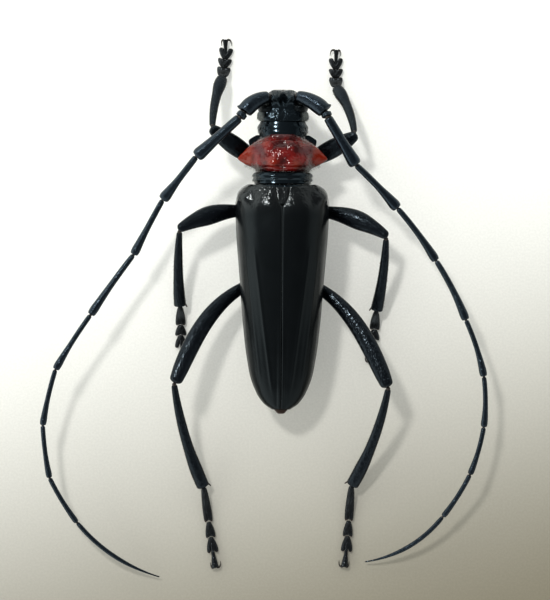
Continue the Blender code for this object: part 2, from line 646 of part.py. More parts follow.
def build_leg(leg, black):
    """One leg: coxa, femur, tibia with its spurs, and foot."""
    pair = leg.split("_")[0]
    hip, knee, ankle = leg_points(leg)
    make("leg_%s_coxa" % leg, ball(hip, COXA_RADIUS[pair], 10, 8), black)
    make("leg_%s_femur" % leg, femur_mesh(leg), black)

    bow, step = LEGS[leg]["tibia"][3:]
    toward = (ankle - knee).normalized()
    aside = toward.cross(UP).normalized()
    knee_radius = 0.5 * FEMUR_WIDTH[pair][-1][1]
    start = knee + toward * (knee_radius + GAP) + aside * step
    length = (ankle - start).length
    shin = route(start, ankle, bow)
    stops = [(t, 1.0) for t in (0.0, 0.2, 0.4, 0.6, 0.78, 0.9)] + [(1.0 - 0.25 / length, 1.0), (1.0, 0.8)]
    shaft = limb(shin, stops, lambda t: smooth(TIBIA_WIDTH[pair], t), TIBIA_FLATNESS, 9)
    spurs = []
    end, heading = shin(1.0)
    inward = UP.cross(heading).normalized() * (1.0 if bow > 0.0 else -1.0)
    reach = 0.5 * TIBIA_WIDTH[pair][-1][1]
    for root_side, tip_side, drop in ((reach - 0.22, reach + 0.12, 0.05), (0.1, 0.1, 0.5 * SPUR_LENGTH)):
        root = end - heading * 0.6 + inward * root_side - UP * 0.1
        tip = root + heading * SPUR_LENGTH + inward * (tip_side - root_side) - UP * drop
        spurs.append(limb(route(root, tip), [(0.0, 1.0), (0.6, 0.75), (1.0, 0.3)], lambda t: 0.34, 1.0, 5))
    fuse("leg_%s_tibia" % leg, [shaft, *spurs], black)
    build_foot(leg, ankle, black)


def build_foot(leg, ankle, black):
    """Foot of three pads, the last in two lobes, and the claw joint with two claws."""
    pair = leg.split("_")[0]
    heading, claw_heading = LEGS[leg]["foot"]
    first, second, third, claw = FOOT_LENGTHS[pair]
    wide = FOOT_WIDTHS[pair]
    neck, neck_thick, pad_thick, pad_level = 0.46, 0.4, 0.5, 0.34
    start = ankle.z - 0.2
    # (distance, centre height, width, thickness) along the foot
    rows = [(GAP, start, 0.5, 0.5), (0.35 * first + 0.1, 0.5 * start + 0.2, 0.6, 0.5),
            (first - 0.1, pad_level, wide[0], pad_thick), (first, pad_level, wide[0] * 0.9, pad_thick * 0.8),
            (first + 0.12, pad_level + 0.04, neck, neck_thick),
            (first + second - 0.1, pad_level, wide[1], pad_thick),
            (first + second, pad_level, wide[1] * 0.9, pad_thick * 0.8),
            (first + second + 0.12, pad_level + 0.04, neck, neck_thick),
            (first + second + 0.5 * third, pad_level + 0.1, neck + 0.1, neck_thick)]
    base = first + second + 0.5 * third
    rows += [(base + 0.35 * (0.5 * third + claw), 0.56, neck, 0.42),
             (base + 0.8 * (0.5 * third + claw), 0.58, wide[3], 0.52),
             (base + 0.5 * third + claw, 0.52, wide[3] * 0.75, 0.4)]
    knuckle = onward((ankle.x, ankle.y, 0.0), base, heading, 0.0)

    def spot(distance):
        if distance <= base:
            return onward((ankle.x, ankle.y, 0.0), distance, heading, 0.0), heading
        return onward(knuckle, distance - base, claw_heading, 0.0), claw_heading

    def place(ring, angle):
        distance, level, width, thick = rows[ring]
        centre, turn = spot(distance)
        left = Vector((-math.cos(math.radians(turn)), math.sin(math.radians(turn)), 0.0))
        return centre + left * 0.5 * width * math.cos(angle) + UP * (level + 0.5 * thick * math.sin(angle))

    pieces = [tube(8, len(rows), place)]
    ahead = onward((0.0, 0.0, 0.0), 1.0, heading, 0.0)
    left = UP.cross(ahead)
    lobe_root = onward((ankle.x, ankle.y, 0.0), first + second + 0.25, heading, 0.0)
    for way in (-1.0, 1.0):
        lobe_start = lobe_root + left * way * 0.14
        lobe_end = lobe_root + ahead * (third - 0.25) + left * way * 0.5 * (wide[2] - LOBE_WIDTH)
        pieces.append(sole(lobe_start, lobe_end))
        tip, turn = spot(base + 0.5 * third + claw - 0.12)
        forward = onward((0.0, 0.0, 0.0), 1.0, turn, 0.0)
        out = UP.cross(forward) * way
        root = tip + UP * 0.5 + out * 0.05
        bend = tip + UP * 0.42 + out * 0.42 + forward * 0.3
        point = tip + UP * 0.14 + out * CLAW_REACH + forward * 0.05
        claw_path = joined(route(root, bend), route(bend, point))
        width = lambda t: smooth(((0.0, 0.34), (1.0, 0.3), (2.0, 0.14)), t)
        stops = [(0.0, 1.0), (0.6, 1.0), (1.0, 1.0), (1.5, 1.0), (2.0, 1.0)]
        pieces.append(limb(claw_path, stops, width, 1.0, 6))
    fuse("leg_%s_foot" % leg, pieces, black)


def sole(start, end):
    """One lobe of the last pad, with a flat underside on the floor."""
    rows = ((0.0, 0.7, 0.7), (0.3, 0.95, 1.0), (0.75, 1.0, 1.0), (0.93, 0.85, 0.85), (1.0, 0.5, 0.6))
    ahead = (end - start).normalized()
    left = UP.cross(ahead)

    def place(ring, angle):
        share, wide, high = rows[ring]
        centre = start.lerp(end, share)
        lift = max(0.16 * high + 0.26 * high * math.sin(angle), 0.0)
        return centre + left * 0.5 * LOBE_WIDTH * wide * math.cos(angle) + UP * lift

    return tube(8, len(rows), place)


def place_on_floor():
    """Hang every solid on one empty, which puts the middle of the beetle's box over the origin."""
    solids = [o for o in bpy.context.scene.objects if o.type == "MESH"]
    graph = bpy.context.evaluated_depsgraph_get()
    corners = [Vector(c) for o in solids if not o.hide_render for c in o.evaluated_get(graph).bound_box]
    middle = [(min(c[i] for c in corners) + max(c[i] for c in corners)) / 2 for i in (0, 1)]
    bottom = min(c.z for c in corners)
    beetle = bpy.data.objects.new("beetle", None)
    bpy.context.scene.collection.objects.link(beetle)
    beetle.location = (-middle[0], -middle[1], -bottom)
    for piece in solids:
        piece.parent = beetle


def main():
    for old in list(bpy.data.objects):
        bpy.data.objects.remove(old, do_unlink=True)
    black = material("black_shell", (0.010, 0.014, 0.018), 0.22)
    limbs = material("black_limb", (0.012, 0.018, 0.026), 0.3)
    red = material("red_shield", (0.36, 0.022, 0.010), 0.2)
    eyes = material("eye", (0.006, 0.007, 0.008), 0.12)
    mouth = material("mouth", (0.02, 0.016, 0.014), 0.35)
    leg_cutters = make_leg_cutters()
    scape_cutters = [make("socket_scape_" + side, scape(side, GAP)) for side, _ in SIDES]
    build_head(black, mouth, eyes, scape_cutters)
    build_neck_shield(black, red, leg_cutters)
    build_wings(black)
    build_core(black, leg_cutters)
    build_feelers(limbs)
    for leg in LEGS:
        build_leg(leg, limbs)
    place_on_floor()


main()
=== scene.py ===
import random
from math import asin, atan2, copysign, cos, exp, hypot, pi, radians, sin, sqrt

import bmesh
import bpy
from mathutils import Matrix, Vector, noise


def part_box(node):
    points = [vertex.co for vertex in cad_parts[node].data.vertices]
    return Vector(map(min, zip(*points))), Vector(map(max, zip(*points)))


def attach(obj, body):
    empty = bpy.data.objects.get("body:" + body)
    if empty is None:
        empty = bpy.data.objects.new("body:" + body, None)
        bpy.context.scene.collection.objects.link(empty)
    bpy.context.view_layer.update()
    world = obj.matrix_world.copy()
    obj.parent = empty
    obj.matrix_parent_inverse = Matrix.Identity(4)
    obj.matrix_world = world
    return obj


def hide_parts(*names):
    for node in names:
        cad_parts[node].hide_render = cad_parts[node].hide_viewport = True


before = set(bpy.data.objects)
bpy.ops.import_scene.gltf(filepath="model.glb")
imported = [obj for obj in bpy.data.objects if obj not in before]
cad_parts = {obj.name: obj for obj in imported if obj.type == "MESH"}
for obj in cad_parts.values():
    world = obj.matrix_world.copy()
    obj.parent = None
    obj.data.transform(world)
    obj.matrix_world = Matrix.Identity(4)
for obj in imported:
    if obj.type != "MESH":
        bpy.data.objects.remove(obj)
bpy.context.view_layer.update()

# A male red-necked longhorn beetle at life size. Shapes are worked out in millimetres in the
# beetle's own frame: +Y towards the head, +Z up from the floor, Y = 0 at the root of the wing cases.
MM = 0.001
UP = Vector((0, 0, 1))
SIDES = (("left", -1), ("right", 1))
SEAM = 0.03                    # fine line between two plates that touch

HEAD_BACK, HEAD_FRONT = 7.05, 10.47
SHIELD_FRONT, SHIELD_BACK = 5.62, 1.52
WING_FRONT, WING_TIP = 0.13, -24.6
MESOTHORAX_BACK = -4.9
METATHORAX_BACK = -11.6
ABDOMEN_BACK = -23.7
TAIL_TIP = -25.1
TRUNK_SIDES = 96

wing_left_low, wing_left_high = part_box("wing_case_left")
_, wing_right_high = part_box("wing_case_right")
ORIGIN = Vector(((wing_left_low.x + wing_right_high.x) / 2, wing_left_high.y - WING_FRONT * MM, 0))

# Wing cases: (Y, size) stations from the root to the tip
WING_WALL = 0.3
WING_HALF_WIDTH = ((0.13, 3.75), (-0.3, 4.5), (-1, 4.92), (-2.2, 5.1), (-11, 4.53), (-16.2, 4.1),
                   (-20.7, 3.42), (-22.8, 2.65), (-24, 1.8), (-24.6, 0.95))
WING_TOP = ((0.13, 8.42), (-0.7, 8.67), (-1.6, 8.93), (-2.5, 9.16), (-5.5, 9.3), (-12, 8.6), (-18, 7.4),
            (-22, 6.1), (-24.6, 4.95))
WING_EDGE = ((0.13, 6), (-1.2, 5.2), (-4, 4.75), (-12, 4.4), (-20, 4.2), (-24.6, 4.1))
WING_ROUNDNESS = 2.5
# Relief across the root of a wing case as (X, height): a valley by the scutellum, then a low crest
WING_VALLEY = ((0, 0), (1, 0.19), (1.45, 0.245), (1.9, 0.25), (2.6, 0.2), (3.4, 0.14), (6, 0.14))
# Low ribs: X at the first and the last of RIB_ENDS, height, width, and where the rib ends and fades
RIB_ENDS = (-8, -21.5)
WING_RIBS = ((2.9, 1.15, 0.07, 0.16, -23.5, -21), (3.9, 2.3, 0.045, 0.18, -23, -20))
BODY_INSET = 0.6               # depth of the body's flank under the wing cases

SCUTELLUM_FRONT, SCUTELLUM_TIP = -0.2, -2.1
SCUTELLUM_HALF_WIDTH = ((SCUTELLUM_FRONT, 0.8), (-1.3, 0.62), (SCUTELLUM_TIP, 0.14))
SCUTELLUM_THICKNESS = 0.6

# Red shield behind the head: level of its underside, its low swellings (|X|, Y, height), and its
# spine as (X, Y, half length, half height)
SHIELD_FLOOR = 4.6
SWELLINGS = ((1.5, 4.3, 0.28), (1.15, 2.25, 0.35), (2.6, 3.2, 0.2), (0, 3.4, 0.15))
SWELLING_REACH = 0.75
SPINE = ((3.2, 3.42, 1.6, 0.84), (3.7, 3.24, 1.15, 0.68), (4.3, 3.1, 0.64, 0.42), (4.8, 3, 0.22, 0.2),
         (4.97, 2.96, 0.05, 0.05))
SPINE_LEVEL = 5.45
# Brighter patches of its red: X, Y, reach, share
GLOWS = ((-1.1, 2.5, 0.5, 0.8), (1.5, 2.3, 0.5, 0.8), (-1.9, 4.5, 0.35, 0.6), (2.2, 4.5, 0.35, 0.6))

EYE_PLACE = (1.75, 8.65, 5.65)
EYE_SIZE = (1.05, 1, 1.7)
KNOB_PLACE = (0.95, 9.6)
KNOB_HEIGHT = 0.75
JAW_WIDTH = ((0, 0.95), (0.5, 0.75), (0.9, 0.34), (1, 0.16))
PALP_PLACES = ((1.15, 8.5, 2.1), (1.75, 9.2, 1.35), (1.75, 10, 0.95))
PALP_WIDTHS = (((0, 0.3), (0.7, 0.46), (1, 0.4)), ((0, 0.3), (0.8, 0.56), (1, 0.5)))

# Feelers: the scape's root, then (length, heading, rise) of the eleven joints
FEELER_ROOT = {"left": (-1.65, 9.74, 7.4), "right": (1.55, 10.02, 7.4)}
FEELER_JOINTS = {
    "left": ((3.26, -124.9, 12.6), (0.74, -141.7, 14.6), (6.47, -132, -9.8), (6.19, -141.9, -15),
             (6.87, -152.2, -5), (8.13, -144.9, 2.1), (7.15, -147.6, -1.6), (6.37, -167.2, -6.3),
             (5.85, 172.4, -2), (5.93, 149.1, -12.7), (11.24, 124, -11.8)),
    "right": ((3.75, 122.9, 10.9), (0.63, 160.2, 17.2), (6.17, 148.5, -10.3), (6.75, 135.1, -13.7),
              (7.2, 143.1, -4.8), (7.3, 153, 2.4), (6.53, 161.9, -1.8), (5.63, 179.3, -7.1),
              (5.45, -164.3, -2.1), (5.69, -148.6, -13.2), (10.29, -121.5, -12.9)),
}
JOINT_BOWS = {"left": (0, 0, 0, 0.04, 0.08, 0.1, 0.12, 0.12, 0.14, 0.85),
              "right": (0, 0, 0.1, 0.16, 0.2, 0.2, 0.18, 0.16, 0.16, 0.98)}
SCAPE_WIDTH = ((0, 1.1), (0.1, 1.25), (0.35, 1.5), (0.75, 1.7), (0.93, 1.6), (1, 1.4))
SCAPE_BOWS = {"left": 0.32, "right": -0.26}
SCAPE_ROOT_SHIFT = {"left": (0, -0.05, 0), "right": (0.05, -0.25, 0)}
# Root, middle and knob widths of the joints from the second on
JOINT_WIDTHS = ((0.95, 1.1, 1.1), (0.98, 1.07, 1.42), (0.66, 0.72, 1.2), (0.58, 0.64, 0.95),
                (0.57, 0.66, 0.92), (0.52, 0.54, 0.82), (0.5, 0.52, 0.72), (0.5, 0.5, 0.66),
                (0.5, 0.5, 0.6), (0.48, 0.46, 0.16))
FEELER_PARTS = ("base", "4_5", "6_7", "8_9", "tip")      # of two joints each
FEELER_FLATNESS = 0.9
FULLER = 1.06                  # the limbs' smooth skins are drawn in a little, so they start fuller

# Legs: hip, (length, heading, rise, bow) of femur and tibia, the tibia with the side step of its
# root, then the headings of the foot and of its claw joint
LEGS = {
    "fore_left": ((-1.83, 2.3, 2.45), (7.38, -56.6, 20.2, -0.12),
                  (7.22, 8.5, -31.8, -0.26, -0.2), (6.4, -1)),
    "fore_right": ((1.71, 2.33, 2.45), (7.34, 62.5, 20.3, 0.12),
                   (7.04, -19, -32.7, 0.35, 0.2), (-0.6, 2.1)),
    "mid_left": ((-2.24, -3.03, 2.4), (9.35, -100.3, 16.1, 0.9),
                 (9.49, -178.8, -23.6, 0.18, 0.2), (178.8, 168.2)),
    "mid_right": ((2.19, -2.89, 2.4), (9.73, 104.6, 15.5, -0.9),
                  (9.28, -175, -24.2, -0.2, -0.22), (-175.5, -171.4)),
    "hind_left": ((-2.41, -10.34, 2.5), (14.73, -140.4, 14.5, 1.65),
                  (13.42, 166.1, -21.9, 0.43, 0.36), (171.7, 171.4)),
    "hind_right": ((2.35, -10.31, 2.5), (15.05, 140.9, 14.2, -1.5),
                   (13.08, -162.4, -22.5, -0.5, -0.36), (-176.1, -174)),
}
FEMUR_LEAD = {"fore": 0, "mid": 0.1, "hind": 0.3}
COXA_RADIUS = {"fore": 0.95, "mid": 0.9, "hind": 1}
FEMUR_WIDTH = {
    "fore": ((0, 0.9), (0.3, 1.65), (0.6, 2), (0.85, 1.65), (1, 1.15)),
    "mid": ((0, 0.85), (0.3, 1.3), (0.65, 2), (0.87, 1.45), (1, 1)),
    "hind": ((0, 0.9), (0.22, 1.3), (0.5, 1.72), (0.72, 1.82), (0.9, 1.68), (1, 1.4)),
}
TIBIA_WIDTH = {
    "fore": ((0, 0.62), (0.3, 0.85), (0.6, 1), (0.85, 1.32), (1, 1.05)),
    "mid": ((0, 0.58), (0.3, 0.88), (0.6, 1.04), (0.85, 1.22), (1, 1.3)),
    "hind": ((0, 0.62), (0.3, 0.92), (0.6, 1.1), (0.85, 1.38), (1, 1.35)),
}
LEG_FLATNESS = 0.62
KNEE_CAP = 0.42                # how far the femur runs past the middle of the knee
SPUR_LENGTH = 0.75
# Feet: three pads and the claw joint
FOOT_LENGTHS = {"fore": (1.2, 0.96, 1.13, 0.95), "mid": (2.15, 1.15, 1.3, 1.2),
                "hind": (4.02, 1.72, 1.62, 1.75)}
FOOT_WIDTHS = {"fore": (1.7, 1.8, 1.82, 0.62), "mid": (1.3, 1.45, 1.55, 0.7),
               "hind": (1.12, 1.28, 1.48, 0.8)}
FIRST_PAD_ROOT = {"fore": 0.6, "mid": 0.45, "hind": 0.62}
CLAW_REACH = 0.46

# Camera straight above, from the scale of the picture
PICTURE_HEIGHT = 66            # millimetres seen from top to bottom at the body's level
CAMERA_HEIGHT = 400
BODY_LEVEL = 5
CAMERA_OVER = (-0.734, -12.545)
CAMERA_ROLL = 0.382
SENSOR = 36
EXPOSURE = 0.36

# Stage: a lamp and a room whose light falls off overhead
LAMP_POWER = 12.6
LAMP_SIZE = 0.065
LAMP_CONE = 15
LAMP_COLOUR = (1, 0.985, 0.95)
LAMP_AIM = (-14, -2, 0)
LAMP_WAY = (-0.318, 0.477, 0.819)
ROOM_LOW = (1.25, 1.275, 1.225)
ROOM_TOP = (0.33, 0.335, 0.33)
FLOOR_SIZE = 0.9
# Strength of the floor's painted glow, which lifts the shade on it
FLOOR_PAINTED_GLOW = 0.16

# Patterns: repeats to the metre on the trunk, and to the millimetre on the limbs
PUNCTURES = 5600
LIMB_PITS = 5
HAIR_PATCH = 0.0015            # size of a hair's patch on the unwrap

SURFACES = {}                  # surface of each trunk plate by the node that it replaces


def smooth(stations, at):
    """Value on a smooth line through (place, value) stations that never overshoots them."""
    stations = sorted(stations)
    if at <= stations[0][0]:
        return stations[0][1]
    if at >= stations[-1][0]:
        return stations[-1][1]
    slopes = [(b[1] - a[1]) / (b[0] - a[0]) for a, b in zip(stations, stations[1:])]

    def lean(index):
        if index in (0, len(slopes)):
            return slopes[min(index, len(slopes) - 1)]
        before, after = slopes[index - 1], slopes[index]
        return 0 if before * after <= 0 else 2 * before * after / (before + after)

    index = max(i for i in range(len(slopes)) if stations[i][0] <= at)
    step = stations[index + 1][0] - stations[index][0]
    t = (at - stations[index][0]) / step
    low, high = stations[index][1], stations[index + 1][1]
    return (low * (1 + 2 * t) * (1 - t) ** 2 + high * t * t * (3 - 2 * t)
            + step * (lean(index) * t * (1 - t) ** 2 - lean(index + 1) * t * t * (1 - t)))


def ramp(low, high, value):
    """0 below low, 1 above high, and a soft step between."""
    share = min(max((value - low) / (high - low), 0), 1)
    return share * share * (3 - 2 * share)


def hump(distance, reach):
    """1 at no distance, falling softly to 0 past the reach."""
    return exp(-(distance / reach) ** 2)


def spread(first, last, count):
    """Evenly spaced places from first to last."""
    return [first + (last - first) * i / (count - 1) for i in range(count)]


def rounded(angle, roundness):
    """Cosine and sine of an angle on a boxy ellipse."""
    power = 2 / roundness
    across, high = cos(angle), sin(angle)
    return copysign(abs(across) ** power, across), copysign(abs(high) ** power, high)


def onward(start, length, heading, rise=0):
    """The point a length away, at a heading and a rise in degrees."""
    turn, lift = radians(heading), radians(rise)
    flat = length * cos(lift)
    return Vector(start) + Vector((flat * sin(turn), flat * cos(turn), length * sin(lift)))


def route(start, end, bow=0, lead=0):
    """Point and direction at t along a line that bows to its right; it runs on straight past its ends."""
    start, end = Vector(start), Vector(end)
    chord = end - start
    push = chord.cross(UP).normalized() * bow

    def at(t):
        inside = min(max(t, 0), 1)
        rest = 1 - 2 * inside
        heading = chord + push * 4 * (rest + lead * (rest * rest - 2 * inside * (1 - inside)))
        point = start + chord * inside + push * 4 * inside * (1 - inside) * (1 + lead * rest)
        return point + heading * (t - inside), heading.normalized()

    return at


def new_mesh():
    """An empty mesh that keeps each point's straightened place, and whether it has its place yet."""
    bm = bmesh.new()
    bm.verts.layers.float_vector.new("lie")
    bm.verts.layers.int.new("placed")
    return bm


def settle(bm, verts, finish):
    """Give new faces their finish and turn them outwards."""
    placed = bm.verts.layers.int["placed"]
    for vert in verts:
        vert[placed] = 1
    faces = list({f for v in verts for f in v.link_faces})
    volume = 0
    for face in faces:
        face.material_index = finish
        face.normal_update()
        volume += face.calc_center_median().dot(face.normal) * face.calc_area()
    if volume < 0:
        bmesh.ops.reverse_faces(bm, faces=faces)


def tube(bm, sides, rings, place, finish=0):
    """Add a closed tube; place(ring, angle) gives each point and its straightened place."""
    lie = bm.verts.layers.float_vector["lie"]
    placed = bm.verts.layers.int["placed"]
    made = bmesh.ops.create_cone(bm, cap_ends=True, segments=sides, radius1=1, radius2=1,
                                 depth=rings - 1)["verts"]
    lengthwise = {e for v in made for e in v.link_edges if abs(e.verts[0].co.z - e.verts[1].co.z) > 0.5}
    bmesh.ops.subdivide_edges(bm, edges=list(lengthwise), cuts=rings - 2)
    made = [v for v in bm.verts if not v[placed]]
    for vert in made:
        ring = round(vert.co.z + (rings - 1) / 2)
        vert.co, vert[lie] = place(ring, atan2(vert.co.y, vert.co.x))
    settle(bm, made, finish)


def ball(bm, centre, radius, sides, rings, finish=0, stretch=(1, 1, 1)):
    """Add a round body."""
    lie = bm.verts.layers.float_vector["lie"]
    made = bmesh.ops.create_uvsphere(bm, u_segments=sides, v_segments=rings, radius=radius)["verts"]
    bmesh.ops.scale(bm, vec=stretch, verts=made)
    bmesh.ops.translate(bm, vec=centre, verts=made)
    for vert in made:
        vert[lie] = vert.co
    settle(bm, made, finish)
    return made


def limb_surface(path, widths, flatness, relief=None):
    """Point, outward direction and straightened place at (t, angle) of a limb along a path."""
    length = (path(1)[0] - path(0)[0]).length
    known = {}

    def at(t, angle, share=1):
        if t not in known:
            centre, heading = path(t)
            left = UP.cross(heading).normalized()
            known[t] = centre, left, heading.cross(left), 0.5 * smooth(widths, t)
        centre, left, over, half = known[t]
        half *= share * FULLER
        if relief:
            half += relief(t, angle)
        aside, high = half * cos(angle), half * flatness * sin(angle)
        outward = (left * cos(angle) * flatness + over * sin(angle)).normalized()
        return centre + left * aside + over * high, outward, Vector((aside, high, t * length))

    return at


def limb(bm, surface, stops, sides, finish=0):
    """Add a limb; each stop is (t, share of the full width there)."""
    def place(ring, angle):
        point, _, lie = surface(stops[ring][0], angle, stops[ring][1])
        return point, lie

    tube(bm, sides, len(stops), place, finish)


def stops_between(first, last, count, start_cap=0, end_cap=0):
    """Stops along a limb, drawn in to a rounded cap at either end; a cap's length is in t."""
    rim = [radians(a) for a in (8, 25, 45, 67)]
    stops = [(t, 1) for t in spread(first + start_cap, last - end_cap, count)]
    if start_cap:
        stops = [(first + start_cap * (1 - cos(a)), sin(a)) for a in rim] + stops
    if end_cap:
        stops += [(last - end_cap * (1 - cos(a)), sin(a)) for a in reversed(rim)]
    return stops


def shell_surface(stations, roundness, belly_roundness, relief=None):
    """Point and outward direction at (y, angle) of a trunk plate.

    Stations are (Y, half width, bottom, level of the widest place, top).
    """
    known = {}

    def at(y, angle, inset=0):
        if y not in known:
            known[y] = [smooth([(s[0], s[i]) for s in stations], y) for i in (1, 2, 3, 4)]
        half, bottom, level, top = known[y]
        over = sin(angle) >= 0
        power = roundness if over else belly_roundness
        rise = max(top - level if over else level - bottom, 0.05)
        across, high = rounded(angle, power)
        outward = Vector((copysign(abs(across) ** (power - 1), across) / half, 0,
                          copysign(abs(high) ** (power - 1), high) / rise)).normalized()
        point = Vector((max(half - inset, 0.02) * across, y, level + max(rise - inset, 0.02) * high))
        if relief:
            point += outward * relief(point, angle)
        return point, outward

    return at


def rolled_rows(front, back, count, edge, degrees=(0, 22.5, 45, 67.5)):
    """Rows (Y, inset) of a trunk plate from front to back, drawn in at its rounded rims."""
    rim = [(edge * (1 - cos(a)), edge * (1 - sin(a))) for a in map(radians, degrees)]
    rows = [(front - step, inset) for step, inset in rim]
    rows += [(y, 0) for y in spread(front - edge, back + edge, count)]
    return rows + [(back + step, inset) for step, inset in reversed(rim)]


def make(name, bm, finishes, replaces=(), levels=0):
    """Turn a millimetre mesh into a finished piece, in metres in the shared frame."""
    bmesh.ops.scale(bm, vec=(MM, MM, MM), verts=bm.verts)
    bmesh.ops.translate(bm, vec=ORIGIN, verts=bm.verts)
    bm.verts.layers.int.remove(bm.verts.layers.int["placed"])
    piece = add_mesh(name, bm, finishes)
    piece.data.shade_smooth()
    piece.data.set_sharp_from_angle(angle=radians(60))
    if levels:
        fine = piece.modifiers.new("fine", "SUBSURF")
        fine.levels = fine.render_levels = levels
    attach(piece, "root")
    if replaces:
        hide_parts(*replaces)
    return piece


def add_object(name, data):
    """Put a mesh, lamp or camera into the scene."""
    made = bpy.data.objects.new(name, data)
    bpy.context.scene.collection.objects.link(made)
    return made


def add_mesh(name, bm, finishes):
    """Put a worked mesh with its finishes into the scene."""
    mesh = bpy.data.meshes.new(name)
    bm.to_mesh(mesh)
    bm.free()
    for finish in finishes:
        mesh.materials.append(finish)
    return add_object(name, mesh)


def make_plate(name, replaced, surface, rows, finish, sides=TRUNK_SIDES, slot="body_shell", **paints):
    """Turn a trunk plate's surface into a piece; a paint stores a number on every point."""
    def place(ring, angle):
        y, inset = rows[ring]
        point = surface(y, angle, inset)[0]
        return point, point

    bm = new_mesh()
    tube(bm, sides, len(rows), place)
    for layer_name, value in paints.items():
        layer = bm.verts.layers.float.new(layer_name)
        for vert in bm.verts:
            vert[layer] = value(vert.co)
    SURFACES[replaced] = surface
    make(name, bm, [finish], [replaced])


def wire(made, sockets):
    """Fill a node's sockets with values, colours or other nodes' outputs."""
    for key, value in sockets.items():
        socket = made.inputs[key]
        if isinstance(value, bpy.types.NodeSocket):
            made.id_data.links.new(value, socket)
        else:
            socket.default_value = (*value, 1) if socket.type == "RGBA" else value


def node(tree, kind, sockets=None, **settings):
    """Add a shader node."""
    made = tree.nodes.new("ShaderNode" + kind)
    for key, value in settings.items():
        setattr(made, key, value)
    wire(made, sockets or {})
    return made


def new_finish(name, specular, tint=(1, 1, 1)):
    """A new material; returns it with its shader."""
    material = bpy.data.materials.new(name)
    material.use_nodes = True
    shader = material.node_tree.nodes["Principled BSDF"]
    wire(shader, {"Specular IOR Level": specular, "Specular Tint": tint, "Coat Roughness": 0.12})
    return material, shader


def object_place(shader):
    """The point's place in the object, in metres."""
    return node(shader.id_data, "TexCoord").outputs["Object"]


def stored(shader, name, output="Fac"):
    """What the mesh keeps under a name: a number, or with Vector a place in millimetres."""
    return node(shader.id_data, "Attribute", attribute_name=name).outputs[output]


def ease(value, low, high, first=0, last=1):
    """Carry a value from low..high to first..last with a soft step."""
    sockets = {"Value": value, "From Min": low, "From Max": high, "To Min": first, "To Max": last}
    return node(value.id_data, "MapRange", sockets, interpolation_type="SMOOTHSTEP").outputs["Result"]


def blend(share, first, second):
    """Mix two colours by a share."""
    return node(share.id_data, "Mix", {0: share, 6: first, 7: second}, data_type="RGBA").outputs[2]


def shaded(colour, shade):
    """Multiply a colour by a shade."""
    return node(colour.id_data, "Mix", {0: 1, 6: colour, 7: shade}, data_type="RGBA",
                blend_type="MULTIPLY").outputs[2]


def times(first, second, operation="MULTIPLY"):
    """Arithmetic on two values."""
    return node(first.id_data, "Math", {0: first, 1: second}, operation=operation).outputs[0]


def stretch_place(place, scale):
    """Scale a place so that a pattern runs longer one way."""
    return node(place.id_data, "Mapping", {"Vector": place, "Scale": scale},
                vector_type="POINT").outputs["Vector"]


def grain(place, scale, detail=2, rough=0.5):
    """Soft random variation."""
    sockets = {"Vector": place, "Scale": scale, "Detail": detail, "Roughness": rough}
    return node(place.id_data, "TexNoise", sockets).outputs["Fac"]


def cells(place, scale, low, high):
    """Round cells: a soft step from 0 at one distance from their middles to 1 at another."""
    made = node(place.id_data, "TexVoronoi", {"Vector": place, "Scale": scale})
    return ease(made.outputs["Distance"], low, high)


def emboss(height, depth, strength=1, under=None):
    """Bump from a height that is depth millimetres high, over the bump under it."""
    sockets = {"Height": height, "Distance": depth * MM, "Strength": strength}
    if under:
        sockets["Normal"] = under
    return node(height.id_data, "Bump", sockets).outputs["Normal"]


def black_shell(name, downy):
    """Glossy black cuticle with fine punctures; a downy one is grey where its down is thick."""
    material, shader = new_finish(name, 0.42, (0.62, 0.84, 1))
    place = object_place(shader)
    tone = blend(grain(place, 900), (0.0015, 0.002, 0.003), (0.004, 0.006, 0.008))
    punctures = grain(place, PUNCTURES, 0.5)
    if downy:
        down = stored(shader, "down")
        patchy = times(down, ease(grain(place, 5000, 3), 0.25, 0.7, 0.35, 1))
        tone = blend(patchy, tone, (0.19, 0.2, 0.185))
        rough = ease(down, 0, 0.6, 0.13, 0.55)
        punctures = times(punctures, stored(shader, "rugged"))
    else:
        rough = ease(grain(place, 1500), 0.3, 0.7, 0.1, 0.2)
    wire(shader, {"Base Color": tone, "Roughness": rough, "Normal": emboss(punctures, 0.04)})
    return material


def wing_black():
    """Satin black wing case: glossier and punctured at its root, finely wrinkled further back."""
    material, shader = new_finish("wing_black", 0.24, (0.8, 0.94, 1))
    place = object_place(shader)
    along = node(shader.id_data, "SeparateXYZ", {"Vector": place}).outputs["Y"]
    at_root = ease(along, ORIGIN.y - 3.4 * MM, ORIGIN.y - 1.5 * MM)
    wrinkles = grain(stretch_place(place, (1, 0.7, 1)), 6500, 3, 0.6)
    punctures = times(grain(place, PUNCTURES, 0.5), at_root)
    relief = emboss(punctures, 0.034, 1, emboss(wrinkles, 0.012, 0.5))
    wire(shader, {
        "Base Color": blend(grain(place, 500), (0.0015, 0.002, 0.0025), (0.004, 0.005, 0.006)),
        "Roughness": ease(at_root, 0, 1, 0.27, 0.16),
        "Normal": relief, "Coat Normal": relief, "Coat Weight": times(at_root, 0.5)})
    return material


def shield_red():
    """Glossy deep red, dark at its rims, brighter on its swellings and dusty where it is hairy."""
    material, shader = new_finish("shield_red", 0.28)
    place = object_place(shader)
    bloom = stored(shader, "bloom")
    tone = blend(ease(grain(place, 800, 3), 0.35, 0.65), (0.04, 0.0025, 0.003), (0.16, 0.005, 0.004))
    tone = blend(stored(shader, "glow"), tone, (0.22, 0.02, 0.005))
    tone = blend(stored(shader, "dusk"), tone, (0.018, 0.0025, 0.0035))
    relief = emboss(grain(place, 4600, 0.5), 0.042)
    wire(shader, {
        "Base Color": blend(bloom, tone, (0.12, 0.05, 0.055)),
        "Roughness": ease(bloom, 0, 1, 0.15, 0.45),
        "Normal": relief, "Coat Normal": relief, "Coat Weight": ease(bloom, 0, 1, 0.32, 0)})
    return material


